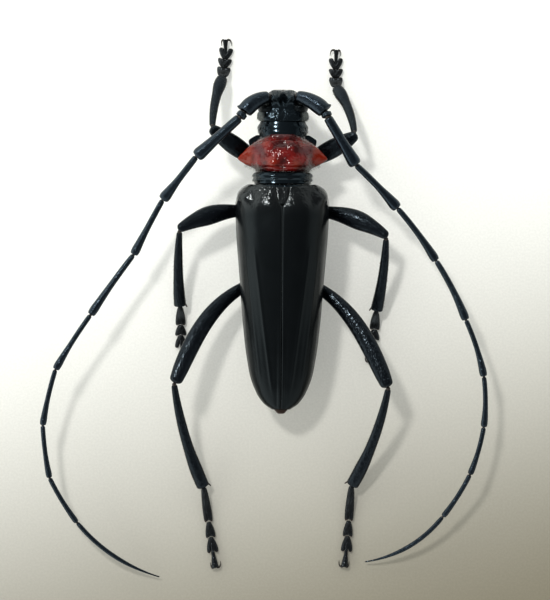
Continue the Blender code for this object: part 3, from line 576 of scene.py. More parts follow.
def eye_black():
    """Finely faceted black eye."""
    material, shader = new_finish("eye_black", 0.2, (0.75, 0.9, 1))
    place = object_place(shader)
    tone = blend(grain(place, 800), (0.001, 0.0015, 0.002), (0.003, 0.0035, 0.004))
    facets = emboss(cells(place, 14000, 0.7, 0.1), 0.02, 0.8)
    wire(shader, {"Base Color": tone, "Roughness": 0.2, "Normal": facets})
    return material


def limb_black(name, colour, tint, rough, grit, pit_depth, specular, run=(1, 1, 0.6), rim=None):
    """Pitted, gritty black of the limbs; run stretches the grit, rim colours the foot pads' edges."""
    material, shader = new_finish(name, specular, tint)
    place = stored(shader, "lie", "Vector")
    tone = blend(grain(place, 1.1, 3), colour, [c * 2.4 for c in colour])
    if rim:
        tone = blend(stored(shader, "rim"), tone, rim)
    fine = emboss(grain(stretch_place(place, run), LIMB_PITS, 0.5), grit)
    wire(shader, {"Base Color": tone,
                  "Roughness": ease(grain(place, 1.6), 0.3, 0.7, rough - 0.06, rough + 0.1),
                  "Normal": emboss(cells(place, LIMB_PITS, 0.08, 0.45), pit_depth, 1, fine)})
    return material


def horn_brown(name, dark, light, rough):
    """Brown horn of joints, claws, spurs and mouthparts."""
    material, shader = new_finish(name, 0.5)
    place = object_place(shader)
    wire(shader, {"Base Color": blend(grain(place, 2500, 3), dark, light), "Roughness": rough,
                  "Normal": emboss(grain(place, 9000), 0.012, 0.5)})
    return material


def hair_finish(name, dark, light):
    """Silky hair."""
    material, shader = new_finish(name, 0.5)
    tone = blend(grain(object_place(shader), 6000), dark, light)
    wire(shader, {"Base Color": tone, "Roughness": 0.42})
    return material


def pale_card():
    """Pale floor with a faint fine grain, darkened and warmed away from the lamp as painted shade, and with
    a weak painted glow that lifts its shade.
    """
    material, shader = new_finish("pale_card", 0.2)
    place = object_place(shader)
    parts = node(shader.id_data, "SeparateXYZ", {"Vector": place}).outputs
    # Painted shade: the floor's tone darkens and warms away from the lamp, standing in for the lamp's
    # falloff
    away = times(times(parts["X"], 0.28), parts["Y"], "SUBTRACT")
    tone = blend(ease(away, -22 * MM, 47 * MM), (0.88, 0.885, 0.86), (0.2, 0.182, 0.137))
    tone = shaded(tone, ease(grain(place, 4200, 3), 0.3, 0.75, 0.965, 1.03))
    # Painted glow: the floor gives off a weak light in its own tone, which lifts its shade
    wire(shader, {"Base Color": tone, "Roughness": 0.7, "Emission Color": tone,
                  "Emission Strength": FLOOR_PAINTED_GLOW, "Normal": emboss(grain(place, 5000), 0.012, 0.4)})
    return material


def wing_height(x, y, seam, share):
    """Height that ribs, rims, shoulders and wrinkles add to a wing case's smooth arch."""
    height = 0
    for first, last, high, wide, end, fade in WING_RIBS:
        rib = first + (last - first) * (RIB_ENDS[0] - y) / (RIB_ENDS[0] - RIB_ENDS[1])
        height += high * hump(x - rib, wide) * ramp(-6, -9.5, y) * ramp(end, fade, y)
    height += (0.015 + 0.035 * ramp(-13, -17, y)) * hump(seam - 0.2, 0.13) * ramp(-3, -6, y)
    height -= 0.035 * hump(seam - 0.5, 0.12) * ramp(-15, -19, y)
    height += 0.06 * hump(share - 1, 0.02) - 0.04 * hump(share - 0.955, 0.012)
    height += 0.4 * hump(hypot(x - 4.35, y + 1.3), 0.75) * ramp(1, 0.7, share)
    height -= 0.08 * hump(hypot(x - 3.2, (y + 1.3) * 0.6), 0.6)
    height += (smooth(WING_VALLEY, x) - 0.14) * hump(y + 1.5, 1.2)
    height += ramp(-3.2, -0.8, y) * 0.022 * noise.noise(Vector((x * 3.1, y * 3.1, 0.3)))
    return height + 0.012 * noise.noise(Vector((x * 1.3, y * 0.8, 4.7)))


def wing_point(y, share, sign, clear):
    """Point on a wing case's outer side; share 0 is over the seam and 1 at the side edge."""
    half, level = smooth(WING_HALF_WIDTH, y), smooth(WING_EDGE, y)
    rise = smooth(WING_TOP, y) - level
    high, across = rounded(0.5 * pi * share, WING_ROUNDNESS)
    high, across = abs(high), abs(across)
    power = WING_ROUNDNESS - 1
    outward = Vector((across ** power / half, 0, high ** power / rise)).normalized()
    x = half * across
    point = Vector((x, y, level + rise * high)) + outward * wing_height(x, y, x - clear, share)
    return Vector((sign * max(point.x, SEAM / 2), point.y, point.z))


def build_wings(black):
    """Two arched wing cases that meet in a fine seam behind the scutellum."""
    for side, sign in SIDES:
        bm = new_mesh()
        bmesh.ops.create_grid(bm, x_segments=64, y_segments=210, size=0.5)
        for vert in bm.verts:
            across, along = vert.co.x + 0.5, vert.co.y + 0.5
            lead = WING_FRONT - 0.3 * (1 - across) ** 2
            y = lead + (WING_TIP - lead) * (1 - cos(0.5 * pi * along)) ** 0.75
            half = smooth(WING_HALF_WIDTH, y)
            clear = SEAM / 2 if y < SCUTELLUM_TIP - 0.1 else smooth(SCUTELLUM_HALF_WIDTH, y) + 0.015
            first = asin(min(clear / half, 1) ** (WING_ROUNDNESS / 2)) / (0.5 * pi)
            vert.co = wing_point(y, first + (1 - first) * across, sign, clear)
        bmesh.ops.recalc_face_normals(bm, faces=bm.faces)
        if sum(f.normal.z for f in bm.faces) < 0:
            bmesh.ops.reverse_faces(bm, faces=bm.faces)
        wing = make("wing_case_" + side + "_shell", bm, [black], ["wing_case_" + side])
        wall = wing.modifiers.new("wall", "SOLIDIFY")
        wall.thickness = WING_WALL * MM
        wall.offset = -1
        wall.use_quality_normals = True


def build_scutellum(black):
    """The small shield between the wing roots."""
    def place(ring, angle):
        y = SCUTELLUM_FRONT + (SCUTELLUM_TIP - SCUTELLUM_FRONT) * ring / 24
        across, high = rounded(angle, 6)
        x = smooth(SCUTELLUM_HALF_WIDTH, y) * across
        dip = 0.03 * hump(x, 0.35) * max(high, 0)
        point = Vector((x, y, smooth(WING_TOP, y) - SCUTELLUM_THICKNESS / 2 * (1 - high) - 0.02 - dip))
        return point, point

    bm = new_mesh()
    tube(bm, 40, 25, place)
    make("scutellum_plate", bm, [black], ["scutellum"], 1)


def shield_height(x, y):
    """Height that swellings, rims and wrinkles add to the red shield's dome."""
    height = sum(h * hump(hypot(abs(x) - bx, y - by), SWELLING_REACH) for bx, by, h in SWELLINGS)
    height -= 0.12
    height -= 0.16 * hump(y - 5.06, 0.13) - 0.03 * hump(y - 5.35, 0.2)
    height -= 0.14 * hump(y - 1.98, 0.13)
    height -= 0.1 * hump(x, 0.5) * hump(y - 4.6, 0.5)
    height += 0.06 * noise.noise(Vector((x * 1.1, y * 2.3, 1.7)))
    return height + 0.028 * noise.noise(Vector((x * 3.7, y * 5.1, 2.9)))


def draw_spine(point, sign):
    """Draw the shield's side out into its spine."""
    root_long = 1.95
    root_high = 1.9 if point.z > SPINE_LEVEL else 0.9
    aside = Vector(((point.y - SPINE[0][1]) / root_long, (point.z - SPINE_LEVEL) / root_high))
    away = aside.length
    if away >= 1 or point.x * sign < 1.5:
        return point
    aside = aside / away if away > 1e-6 else Vector((1, 0))
    x = SPINE[0][0] + (SPINE[-1][0] - SPINE[0][0]) * (1 - away)
    middle, half_long, half_high = (smooth([(s[0], s[i]) for s in SPINE], x) for i in (1, 2, 3))
    spine = Vector((sign * x, middle + half_long * aside.x, SPINE_LEVEL + half_high * aside.y))
    return point.lerp(spine, ramp(0, 0.45, 1 - away))


def shield_surface():
    """Point and outward direction at (y, angle) of the red shield."""
    disc = ((5.66, 2.5, 7.72), (5, 3.1, 7.9), (3.6, 3.45, 8.3), (2.4, 3.35, 8.5), (1.52, 2.75, 8.05))
    known = {}

    def at(y, angle, inset=0):
        if y not in known:
            known[y] = [smooth([(s[0], s[i]) for s in disc], y) for i in (1, 2)]
        half, top = known[y]
        across, high = rounded(angle, 2.4)
        x = (half - inset) * across
        pushed = y - 0.5 * ramp(1, 2.9, abs(x)) * ramp(3.9, 5.6, y)
        outward = Vector((across / half, 0, max(high, 0) / (top - SHIELD_FLOOR))).normalized()
        if sin(angle) < 1e-6:
            return Vector((x, pushed, SHIELD_FLOOR)), outward
        z = SHIELD_FLOOR + (top - SHIELD_FLOOR - inset + shield_height(x, y)) * high
        return draw_spine(Vector((x, pushed, z)), 1 if x > 0 else -1), outward

    return at


def build_shield(red, black):
    """Red shield with rolled rims, swellings and two side spines; under it the black prosternum."""
    def glow(co):
        patches = sum(g * hump(hypot(co.x - gx, co.y - gy), reach) for gx, gy, reach, g in GLOWS)
        return min(1, patches + 0.85 * ramp(3, 3.7, abs(co.x)))

    def dusk(co):
        return min(1, 0.75 * ramp(5.15, 5.4, co.y) + 0.4 * ramp(1.85, 1.62, co.y)
                   + 0.9 * ramp(1.3, 2.4, abs(co.x)) * ramp(2.4, 1.9, co.y))

    def bloom(co):
        return (0.8 * hump(hypot(abs(co.x) - 2.55, (co.y - 3.9) * 0.8), 0.55)
                + 0.5 * hump(co.x + 0.2, 0.9) * hump(co.y - 5.4, 0.25))

    rows = rolled_rows(SHIELD_FRONT, SHIELD_BACK, 92, 0.12, (0, 25, 50, 72))
    make_plate("red_shield_dome", "pronotum", shield_surface(), rows, red, 300, "red_shield",
               glow=glow, dusk=dusk, bloom=bloom)

    under = ((5.62, 2.9, 2.9, 4.55, 4.6), (4.95, 3.75, 2.6, 4.5, 4.6), (3.9, 3.45, 2.4, 4.45, 4.6),
             (2.6, 3.3, 2.35, 4.45, 4.6), (1.52, 2.9, 2.5, 4.5, 4.6))

    def relief(point, angle):
        return -0.1 * hump(abs(point.x) / 3.4 - 0.62, 0.05) + 0.03 * noise.noise(point * 2.4)

    make_plate("underside_of_fore_thorax", "prosternum", shell_surface(under, 2, 1.8, relief),
               rolled_rows(5.6, 1.55, 40, 0.12), black)


def build_collars(black):
    """The ringed black collars before and behind the red shield."""
    front = ((7.03, 2.5, 3.1, 5.4, 7.33), (6.6, 2.7, 3, 5.4, 7.43), (6.1, 2.78, 2.9, 5.4, 7.54),
             (5.66, 2.6, 3.2, 5.4, 7.6), (5, 2.5, 4.7, 5.4, 7.5))

    def front_relief(point, angle):
        high = 0.008 + 0.03 * ramp(1.2, 2.4, abs(point.x))
        return high * sin(point.y * 9) + high * noise.noise(point * 5)

    make_plate("front_collar_ring", "front_collar", shell_surface(front, 2.2, 2, front_relief),
               rolled_rows(7.03, 5, 32, 0.06), black,
               down=lambda co: 0.15 * ramp(2.1, 2.7, abs(co.x)),
               rugged=lambda co: 0.1 + 0.7 * ramp(0.9, 2, abs(co.x)))

    rear = [(1.42 - 1.25 * share, half, 2.75, 5.3, 7.68 + 0.36 * share) for share, half in
            ((0, 3.1), (0.2, 3.3), (0.42, 3.2), (0.6, 3.3), (0.8, 3.12), (1, 3.05))]

    def rear_relief(point, angle):
        return (0.035 * hump(point.y - 1.05, 0.1) + 0.045 * hump(point.y - 0.55, 0.1)
                - 0.03 * hump(point.y - 0.8, 0.08) + 0.01 * noise.noise(point * 6))

    make_plate("rear_collar_ring", "rear_collar", shell_surface(rear, 2.4, 2, rear_relief),
               rolled_rows(1.46, 0.15, 26, 0.1), black,
               down=lambda co: 0.3 * ramp(2.5, 3.1, abs(co.x)),
               rugged=lambda co: 0.1 + 0.7 * ramp(1.6, 2.6, abs(co.x)))


def head_surface():
    """The head: brow knobs that carry the feelers, the groove between them and the upright face."""
    stations = ((7.05, 2.5, 3.3, 5.6, 7.46), (7.45, 2.84, 3, 5.6, 7.4), (7.9, 2.8, 2.8, 5.6, 7.27),
                (8.5, 2.3, 2.5, 5.5, 7.1), (9.1, 2, 2.3, 5.4, 7.05), (9.6, 1.9, 2.1, 5.3, 7.1),
                (10.2, 1.75, 2.2, 5.2, 7), (10.48, 1.45, 2.7, 5.1, 6.5))

    def relief(point, angle):
        x, y = abs(point.x), point.y
        top = max(sin(angle), 0) ** 0.5
        knob = KNOB_HEIGHT * hump(hypot(x - KNOB_PLACE[0], (y - KNOB_PLACE[1]) * 1.1), 0.62)
        groove = 0.5 * hump(x, 0.22 + 0.2 * ramp(9.4, 10.3, y)) * ramp(8.6, 9.8, y)
        crown = 0.05 * hump(x, 0.1) * ramp(9.2, 8.4, y)
        aside = (x - 0.2) * 0.86 - (y - 8.6) * 0.51
        along = (x - 0.2) * 0.51 + (y - 8.6) * 0.86
        rim = 0.16 * hump(aside, 0.1) * ramp(-0.2, 0.2, along) * ramp(1.9, 1.5, along)
        rough = 0.02 * noise.noise(point * 3) + 0.012 * noise.noise(point * 7)
        return (knob + rim - groove - crown) * top + rough

    shell = shell_surface(stations, 2.5, 2.2, relief)

    def at(y, angle, inset=0):
        point, outward = shell(y, angle, inset)
        across, front = abs(point.x), ramp(9.2, 10.3, point.y)
        notch = 0.22 * hump(across, 0.28) * ramp(5.5, 7.3, point.z)
        brow = 0.1 * hump(across, 0.06) * ramp(3.4, 4.2, point.z)
        lip = 0.1 * hump(point.z - 3.35 - 0.25 * across, 0.09)
        pores = 0.03 * noise.noise(point * 4)
        fold = 0.05 * sin(19 * across) * ramp(0.5, 0.9, across) * ramp(5.6, 6.6, point.z)
        point.y -= front * (notch + brow + lip + pores + fold + 0.3 * ramp(1.25, 1.95, across))
        point.z -= 1.4 * fold * ramp(9, 9.8, point.y)
        return point, outward

    return at


def build_head(black, eye, mouth):
    """Head, kidney-shaped eyes and the mouthparts."""
    edge, brow = 0.12, 0.2
    rim = [radians(a) for a in (0, 25, 50, 75)]
    rows = [(HEAD_BACK + edge * (1 - cos(a)), edge * (1 - sin(a))) for a in rim]
    rows += [(y, 0) for y in spread(HEAD_BACK + edge, HEAD_FRONT - brow, 58)]
    rows += [(HEAD_FRONT - brow * sin(a), brow * (1 - cos(a))) for a in reversed(rim[1:])]
    rows += [(HEAD_FRONT + 0.13 * sqrt(d / 1.3), brow + d) for d in (0.08, 0.2, 0.4, 0.65, 0.9, 1.1)]

    def down(co):
        return 0.8 * ramp(1.9, 2.4, abs(co.x)) * ramp(8.9, 8.3, co.y) * ramp(5.2, 6.2, co.z)

    make_plate("head_capsule", "head", head_surface(), rows, black, 144, down=down, rugged=lambda co: 1)
    for side, sign in SIDES:
        bm = new_mesh()
        x, y, z = EYE_PLACE
        centre = Vector((sign * x, y, z))
        socket = Vector(FEELER_ROOT[side]) - centre
        for vert in ball(bm, (0, 0, 0), 1, 48, 36, stretch=EYE_SIZE):
            vert.co = vert.co * (1 - 0.5 * hump((vert.co - socket).length, 0.9)) + centre
        make("eye_%s_lens" % side, bm, [eye], ["eye_" + side])
    build_mouth(mouth)


def build_mouth(mouth):
    """Upper lip, jaws and palps under the upright face, and the lower lip behind them."""
    lip = ((9.5, 0.75, 1.3, 1.6, 2.1), (10.2, 0.6, 1.35, 1.6, 1.85))
    chin = ((8.2, 0.7, 1.35, 1.6, 2.2), (9.1, 0.6, 1.1, 1.4, 2))
    for name, stations, front, back in (("upper_lip", lip, 10.18, 9.5), ("lower_lip", chin, 9.12, 8.15)):
        make_plate(name + "_plate", name, shell_surface(stations, 3, 3),
                   rolled_rows(front, back, 10, 0.12), mouth, 40, "mouthparts")
    for side, sign in SIDES:
        bm = new_mesh()
        jaw = route((sign * 1.3, 9.4, 2.3), (sign * 0.22, 9.8, 0.75), sign * 0.34)
        limb(bm, limb_surface(jaw, JAW_WIDTH, 0.9), stops_between(0, 1, 20, 0.08, 0.06), 24)
        make("jaw_%s_blade" % side, bm, [mouth], ["jaw_" + side], 1)
        bm = new_mesh()
        places = [(sign * x, y, z) for x, y, z in PALP_PLACES]
        for start, end, widths in zip(places, places[1:], PALP_WIDTHS):
            surface = limb_surface(route(start, end), widths, 0.9)
            limb(bm, surface, stops_between(-0.05, 1, 10, 0.06, 0.12), 18)
        make("palp_%s_joints" % side, bm, [mouth], ["palp_" + side], 1)


def body_sections(front, back, count):
    """Sections of the body under the wing cases."""
    belly = ((0.05, 2.75), (-3, 2.45), (-8, 2.2), (-11.6, 2.3), (-16, 2.4), (-20, 2.8), (ABDOMEN_BACK, 3.35))
    rows = []
    for y in spread(front, back, count):
        half, top = smooth(WING_HALF_WIDTH, y) - BODY_INSET, smooth(WING_TOP, y) - BODY_INSET
        level = smooth(WING_EDGE, y)
        rows.append((y, half, smooth(belly, y), level, max(top, level + 0.15)))
    return rows


def build_body(black, mouth):
    """Middle and hind thorax, the ringed abdomen and the tail tip."""
    front, back = METATHORAX_BACK, ABDOMEN_BACK
    edges = [front + (back - front) * share for share in (0.3, 0.5, 0.68, 0.85)]

    def thorax_relief(point, angle):
        low = ramp(5, 4.4, point.z)
        middle = -0.12 * hump(point.x, 0.09) * ramp(3.2, 2.6, point.z)
        slant = point.y + 0.55 * abs(point.x)
        return low * (-0.12 * hump((slant + 6.2) % 4.6 - 2.3, 0.1)) + middle + 0.02 * noise.noise(point * 3)

    def ring_relief(point, angle):
        height = 0.02 * noise.noise(point * 3)
        for edge in edges:
            past = edge - point.y
            height += 0.1 * hump(past + 0.12, 0.12) - 0.16 * hump(past - 0.06, 0.07)
        return height

    for name, replaced, front, back, sections, count, edge, relief in (
            ("middle_thorax", "mesothorax", 0.1, MESOTHORAX_BACK, 8, 44, 0.14, thorax_relief),
            ("hind_thorax", "metathorax", MESOTHORAX_BACK, METATHORAX_BACK, 8, 56, 0.14, thorax_relief),
            ("abdomen_rings", "abdomen", METATHORAX_BACK, ABDOMEN_BACK, 14, 130, 0.16, ring_relief)):
        surface = shell_surface(body_sections(front, back, sections), 2.5, 1.8, relief)
        make_plate(name, replaced, surface, rolled_rows(front, back + SEAM, count, edge), black)

    tail = ((ABDOMEN_BACK, 0.95, 3.2, 3.5, 3.85), (-24.6, 0.75, 3.3, 3.5, 3.75),
            (TAIL_TIP, 0.35, 3.35, 3.5, 3.65))
    make_plate("tail_plate", "tail_tip", shell_surface(tail, 2.5, 2.5),
               rolled_rows(ABDOMEN_BACK, TAIL_TIP, 22, 0.12), mouth, 40, "mouthparts")


def build_feelers(black, brown):
    """Both feelers: the thick toothed scape, then ten joints with brown sockets between them."""
    for side, sign in SIDES:
        points = [Vector(FEELER_ROOT[side])]
        for joint in FEELER_JOINTS[side]:
            points.append(onward(points[-1], *joint))
        tooth = 0 if sign > 0 else pi

        def scape_relief(t, angle):
            turn = (angle - tooth + pi) % (2 * pi) - pi
            return 0.36 * hump(t - 0.99, 0.05) * hump(turn, 0.4)

        bm = new_mesh()
        root = points[0] + Vector(SCAPE_ROOT_SHIFT[side])
        path = route(root, points[1], SCAPE_BOWS[side])
        surface = limb_surface(path, SCAPE_WIDTH, FEELER_FLATNESS, scape_relief)
        limb(bm, surface, stops_between(-0.06, 1, 34, 0.08, 0.05), 32)
        ball(bm, root, 0.4, 20, 14, 1)
        make("feeler_%s_scape_shell" % side, bm, [black, brown], ["feeler_%s_scape" % side], 1)

        for number, part in enumerate(FEELER_PARTS):
            bm = new_mesh()
            for joint in (2 * number, 2 * number + 1):
                start, end = points[joint + 1], points[joint + 2]
                length = (end - start).length
                root, middle, knob = JOINT_WIDTHS[joint]
                widths = ((0, root * 0.7), (0.04, root), (0.5, middle),
                          (0.8, 0.35 * middle + 0.65 * knob), (0.93, knob), (1, knob * 0.82))
                path = route(start, end, -sign * JOINT_BOWS[side][joint])
                count = 10 if length < 1 else 26
                stops = stops_between(0.06 / length, 1, count, 0.1 / length, 0.12 / length)
                limb(bm, limb_surface(path, widths, FEELER_FLATNESS), stops, 20)
                ball(bm, start + (end - start) * 0.03 / length, 0.3 * root, 16, 12, 1)
            make("feeler_%s_%s_joints" % (side, part), bm, [black, brown],
                 ["feeler_%s_%s" % (side, part)], 1)


def pair_of(leg):
    """Fore, mid or hind."""
    return leg.split("_")[0]


def leg_points(leg):
    """Hip, knee and ankle of a leg."""
    hip, femur, tibia, _ = LEGS[leg]
    knee = onward(hip, *femur[:3])
    return Vector(hip), knee, onward(knee, *tibia[:3])


def tibia_of(leg):
    """Path and surface of a leg's tibia."""
    _, knee, ankle = leg_points(leg)
    bow, step = LEGS[leg][2][3:]
    toward = (ankle - knee).normalized()
    aside = toward.cross(UP).normalized()
    path = route(knee + toward * (KNEE_CAP + 0.1) + aside * step, ankle, bow)
    return path, limb_surface(path, TIBIA_WIDTH[pair_of(leg)], LEG_FLATNESS)


def build_leg(leg, black, brown):
    """One leg down to its foot: coxa, brown trochanter, femur, and tibia with its two spurs."""
    pair = pair_of(leg)
    hip, knee, _ = leg_points(leg)
    radius = COXA_RADIUS[pair]
    bm = new_mesh()
    ball(bm, hip, radius, 32, 22)
    make("leg_%s_hip" % leg, bm, [black, brown], ["leg_%s_coxa" % leg])

    bm = new_mesh()
    length = (knee - hip).length
    path = route(hip, knee, LEGS[leg][1][3], FEMUR_LEAD[pair])
    cap = KNEE_CAP / length
    stops = stops_between((radius + 0.12) / length, 1 + cap, 40, 0.1 / length, cap)
    limb(bm, limb_surface(path, FEMUR_WIDTH[pair], LEG_FLATNESS), stops, 28)
    ball(bm, hip + (knee - hip).normalized() * (radius + 0.05), 0.4, 20, 14, 1)
    make("leg_%s_thigh" % leg, bm, [black, brown], ["leg_%s_femur" % leg], 1)

    bm = new_mesh()
    shin, surface = tibia_of(leg)
    limb(bm, surface, stops_between(0, 1, 40, 0.02, 0.02), 24)
    end, heading = shin(1)
    inward = UP.cross(heading).normalized() * (1 if LEGS[leg][2][3] > 0 else -1)
    reach = 0.5 * TIBIA_WIDTH[pair][-1][1]
    flare = -0.2 if pair == "fore" else 0.12
    for root_side, tip_side, drop in ((reach - 0.22, reach + flare, 0.05), (0.1, 0.1, 0.5 * SPUR_LENGTH)):
        root = end - heading * 0.6 + inward * root_side - UP * 0.1
        tip = root + heading * SPUR_LENGTH + inward * (tip_side - root_side) - UP * drop
        spur = limb_surface(route(root, tip), ((0, 0.3), (1, 0.12)), 1)
        limb(bm, spur, stops_between(0, 1, 6, 0, 0.05), 8, 1)
    ball(bm, shin(0)[0], 0.24, 20, 14, 1)
    make("leg_%s_shin" % leg, bm, [black, brown], ["leg_%s_tibia" % leg], 1)


def pad(bm, start, heading, length, width, thick, notch, level, narrow):
    """Add a foot pad that widens to its end, where a notch parts it into two lobes."""
    lie = bm.verts.layers.float_vector["lie"]
    rim = bm.verts.layers.float["rim"]
    ahead = onward((0, 0, 0), 1, heading)
    left = UP.cross(ahead)
    made = bmesh.ops.create_uvsphere(bm, u_segments=48, v_segments=22, radius=1)["verts"]
    for vert in made:
        u, across, high = vert.co.z, vert.co.x, vert.co.y
        ring = max(sqrt(max(1 - u * u, 0)), 1e-6)
        box = ring ** 0.25
        side, lift = across / ring * box, high / ring * box
        share = 0.5 + 0.5 * u
        wide = 0.5 * width * (narrow + (1 - narrow) * max(share, 0) ** 0.75)
        cut = notch * hump(side, 0.5 if notch < 0.3 else 0.22) * ramp(0.15, 1, share)
        forward = length * (share * (1 - cut))
        lobe = 1 - 0.35 * hump(side, 0.3) * ramp(0.3, 1, share) * (1 if notch > 0.3 else 0.4)
        vert.co = start + ahead * forward + left * wide * side + UP * (level + 0.5 * thick * lift * lobe)
        vert.co.z = max(vert.co.z, 0)
        vert[lie] = Vector((side, lift, share))
        vert[rim] = ramp(0.93, 1, share) * ramp(0.3, 0.6, abs(side))
    settle(bm, made, 0)
    return made


def sickle(bm, points, thick, finish):
    """Add a curved, tapering claw through four points."""
    def path(t):
        a, b, c, d = points
        s = 1 - t
        point = a * s ** 3 + b * 3 * s * s * t + c * 3 * s * t * t + d * t ** 3
        heading = (b - a) * s * s + (c - b) * 2 * s * t + (d - c) * t * t
        return point, heading.normalized()

    surface = limb_surface(path, ((0, thick), (1, 0.15 * thick)), 1)
    limb(bm, surface, stops_between(0, 1, 12, 0, 0.04), 10, finish)


def build_foot(leg, black, brown):
    """Foot of three pads, the last in two lobes, and the claw joint with two sickle claws."""
    pair = pair_of(leg)
    ankle = leg_points(leg)[2]
    heading, claw_heading = LEGS[leg][3]
    first, second, third, claw = FOOT_LENGTHS[pair]
    wide = FOOT_WIDTHS[pair]
    ground = Vector((ankle.x, ankle.y, 0))
    ahead = onward((0, 0, 0), 1, heading)
    bm = new_mesh()
    bm.verts.layers.float.new("rim")

    # The first pad slopes down from the tibia's end
    for vert in pad(bm, ground, heading, first, wide[0], 0.62, 0.08, 0.32, FIRST_PAD_ROOT[pair]):
        share = (vert.co - ground).dot(ahead) / first
        vert.co.z += (ankle.z - 0.45) * ramp(0.75, 0, share)
    pad(bm, onward(ground, first - 0.1, heading), heading, second + 0.1, wide[1], 0.56, 0.14, 0.3, 0.4)
    pad(bm, onward(ground, first + second - 0.12, heading), heading, third + 0.14, wide[2], 0.5, 0.62, 0.27,
        0.34)

    knuckle = onward(ground, first + second + 0.42 * third, heading)
    tip = onward(knuckle, 0.58 * third + claw, claw_heading)
    path = route(knuckle + UP * 0.4, tip + UP * 0.52)
    widths = ((0, 0.3), (0.35, 0.36), (0.75, wide[3] * 0.78), (1, wide[3]))
    limb(bm, limb_surface(path, widths, 0.75), stops_between(-0.05, 1, 18, 0.05, 0.04), 20)
    forward = onward((0, 0, 0), 1, claw_heading)
    for way in (-1, 1):
        out = UP.cross(forward) * way
        part = 1 if out.x * ankle.x < 0 else 0.55
        root = tip - forward * 0.08 + UP * 0.48 + out * 0.22
        points = [root, root + (out * 0.34 + forward * 0.12) * part,
                  root + out * CLAW_REACH * part - forward * 0.2 - UP * 0.16,
                  root + out * (CLAW_REACH - 0.02) * part - forward * 0.62 - UP * 0.32]
        sickle(bm, points, 0.26, 1)
    make("leg_%s_pads" % leg, bm, [black, brown], ["leg_%s_foot" % leg])


def hair_mesh():
    """An empty mesh for hair, with the unwrap on which each hair has its own patch."""
    bm = new_mesh()
    bm.loops.layers.uv.new("OFBake")
    return bm


def add_hair(bm, root, way, length, thick, spot):
    """Add one thin three-sided tapered hair; its patch lies at its root's spot on the unwrap."""
    way = way.normalized()
    turn = Matrix.Translation(root + way * 0.5 * length) @ way.to_track_quat("Z", "Y").to_matrix().to_4x4()
    made = bmesh.ops.create_cone(bm, cap_ends=True, segments=3, radius1=0.5 * thick, radius2=0.1 * thick,
                                 depth=length, matrix=turn)["verts"]
    layer = bm.loops.layers.uv["OFBake"]
    for number, vert in enumerate(made):
        angle = number * pi / 3
        for loop in vert.link_loops:
            loop[layer].uv = (spot[0] + HAIR_PATCH * cos(angle), spot[1] + HAIR_PATCH * sin(angle))


def hairs_on(bm, surface, draw, count, ends, angles, length, thick, lean, way=(0, -1, 0), tile=(0, 1)):
    """Add hairs at random places of a surface between two ends and two angles, lying along a way."""
    way = Vector(way).normalized()
    for _ in range(count):
        along = draw.uniform(*ends)
        angle = radians(draw.uniform(*angles))
        point, outward = surface(along, angle)[:2]
        stray = Vector((draw.gauss(0, 0.22), draw.gauss(0, 0.22), draw.gauss(0, 0.12)))
        lying = way - outward * way.dot(outward)
        heading = lying.normalized() + outward * lean * draw.uniform(0.6, 1.5) + stray
        share = (along - ends[0]) / (ends[1] - ends[0])
        spot = (0.01 + 0.98 * (tile[0] + tile[1] * (angle / (2 * pi) % 1)), 0.01 + 0.98 * share)
        add_hair(bm, point - outward * 0.02, heading, length * draw.uniform(0.6, 1.25), thick, spot)


def build_hair(pale, brown):
    """Short hair where the beetle is not polished: head, collars, shield, underside and shins."""
    draw = random.Random(11)
    bm = hair_mesh()
    for angles in ((-30, 42), (138, 210)):
        hairs_on(bm, SURFACES["head"], draw, 220, (7.15, 8.6), angles, 0.2, 0.018, 0.3)
    make("head_hair", bm, [pale])

    bm = hair_mesh()
    for angles in ((-40, 48), (132, 220)):
        hairs_on(bm, SURFACES["front_collar"], draw, 150, (5.8, 6.9), angles, 0.24, 0.018, 0.4)
        hairs_on(bm, SURFACES["rear_collar"], draw, 130, (0.3, 1.4), angles, 0.28, 0.018, 0.4)
    make("collar_hair", bm, [pale])

    bm = hair_mesh()
    shield = SURFACES["pronotum"]
    for sign, rear, front, tile in ((1, (4, 40), (28, 52), (0, 0.5)),
                                    (-1, (140, 176), (128, 152), (0.5, 0.5))):
        hairs_on(bm, shield, draw, 130, (1.6, 2.5), rear, 0.42, 0.02, 0.35, (0.4 * sign, -1, -0.2), tile)
        hairs_on(bm, shield, draw, 90, (4.7, 5.4), front, 0.3, 0.018, 0.3, (0.5 * sign, 1, 0), tile)
    hairs_on(bm, shield, draw, 26, (1.7, 2.3), (87, 95), 0.26, 0.016, 0.3)
    make("shield_hair", bm, [pale])

    bm = hair_mesh()
    belly = (("prosternum", (1.7, 5.3), 260), ("metathorax", (-11.4, -5.1), 520),
             ("abdomen", (-23.4, -11.8), 700), ("tail_tip", (-25, -24), 50))
    for number, (part, ends, count) in enumerate(belly):
        hairs_on(bm, SURFACES[part], draw, count, ends, (190, 350), 0.34, 0.02, 0.3,
                 tile=(0.25 * number, 0.25))
    make("belly_hair", bm, [pale])

    bm = hair_mesh()
    for number, leg in enumerate(LEGS):
        _, knee, ankle = leg_points(leg)
        for turn in (0, 180):
            hairs_on(bm, tibia_of(leg)[1], draw, 70, (0.3, 0.97), (turn - 35, turn + 35), 0.22, 0.018, 0.45,
                     ankle - knee, (number / 6, 1 / 6))
    make("shin_hair", bm, [brown])


def build_floor(card):
    """A wide pale floor."""
    bm = bmesh.new()
    bmesh.ops.create_grid(bm, x_segments=1, y_segments=1, size=FLOOR_SIZE)
    floor = add_mesh("floor", bm, [card])


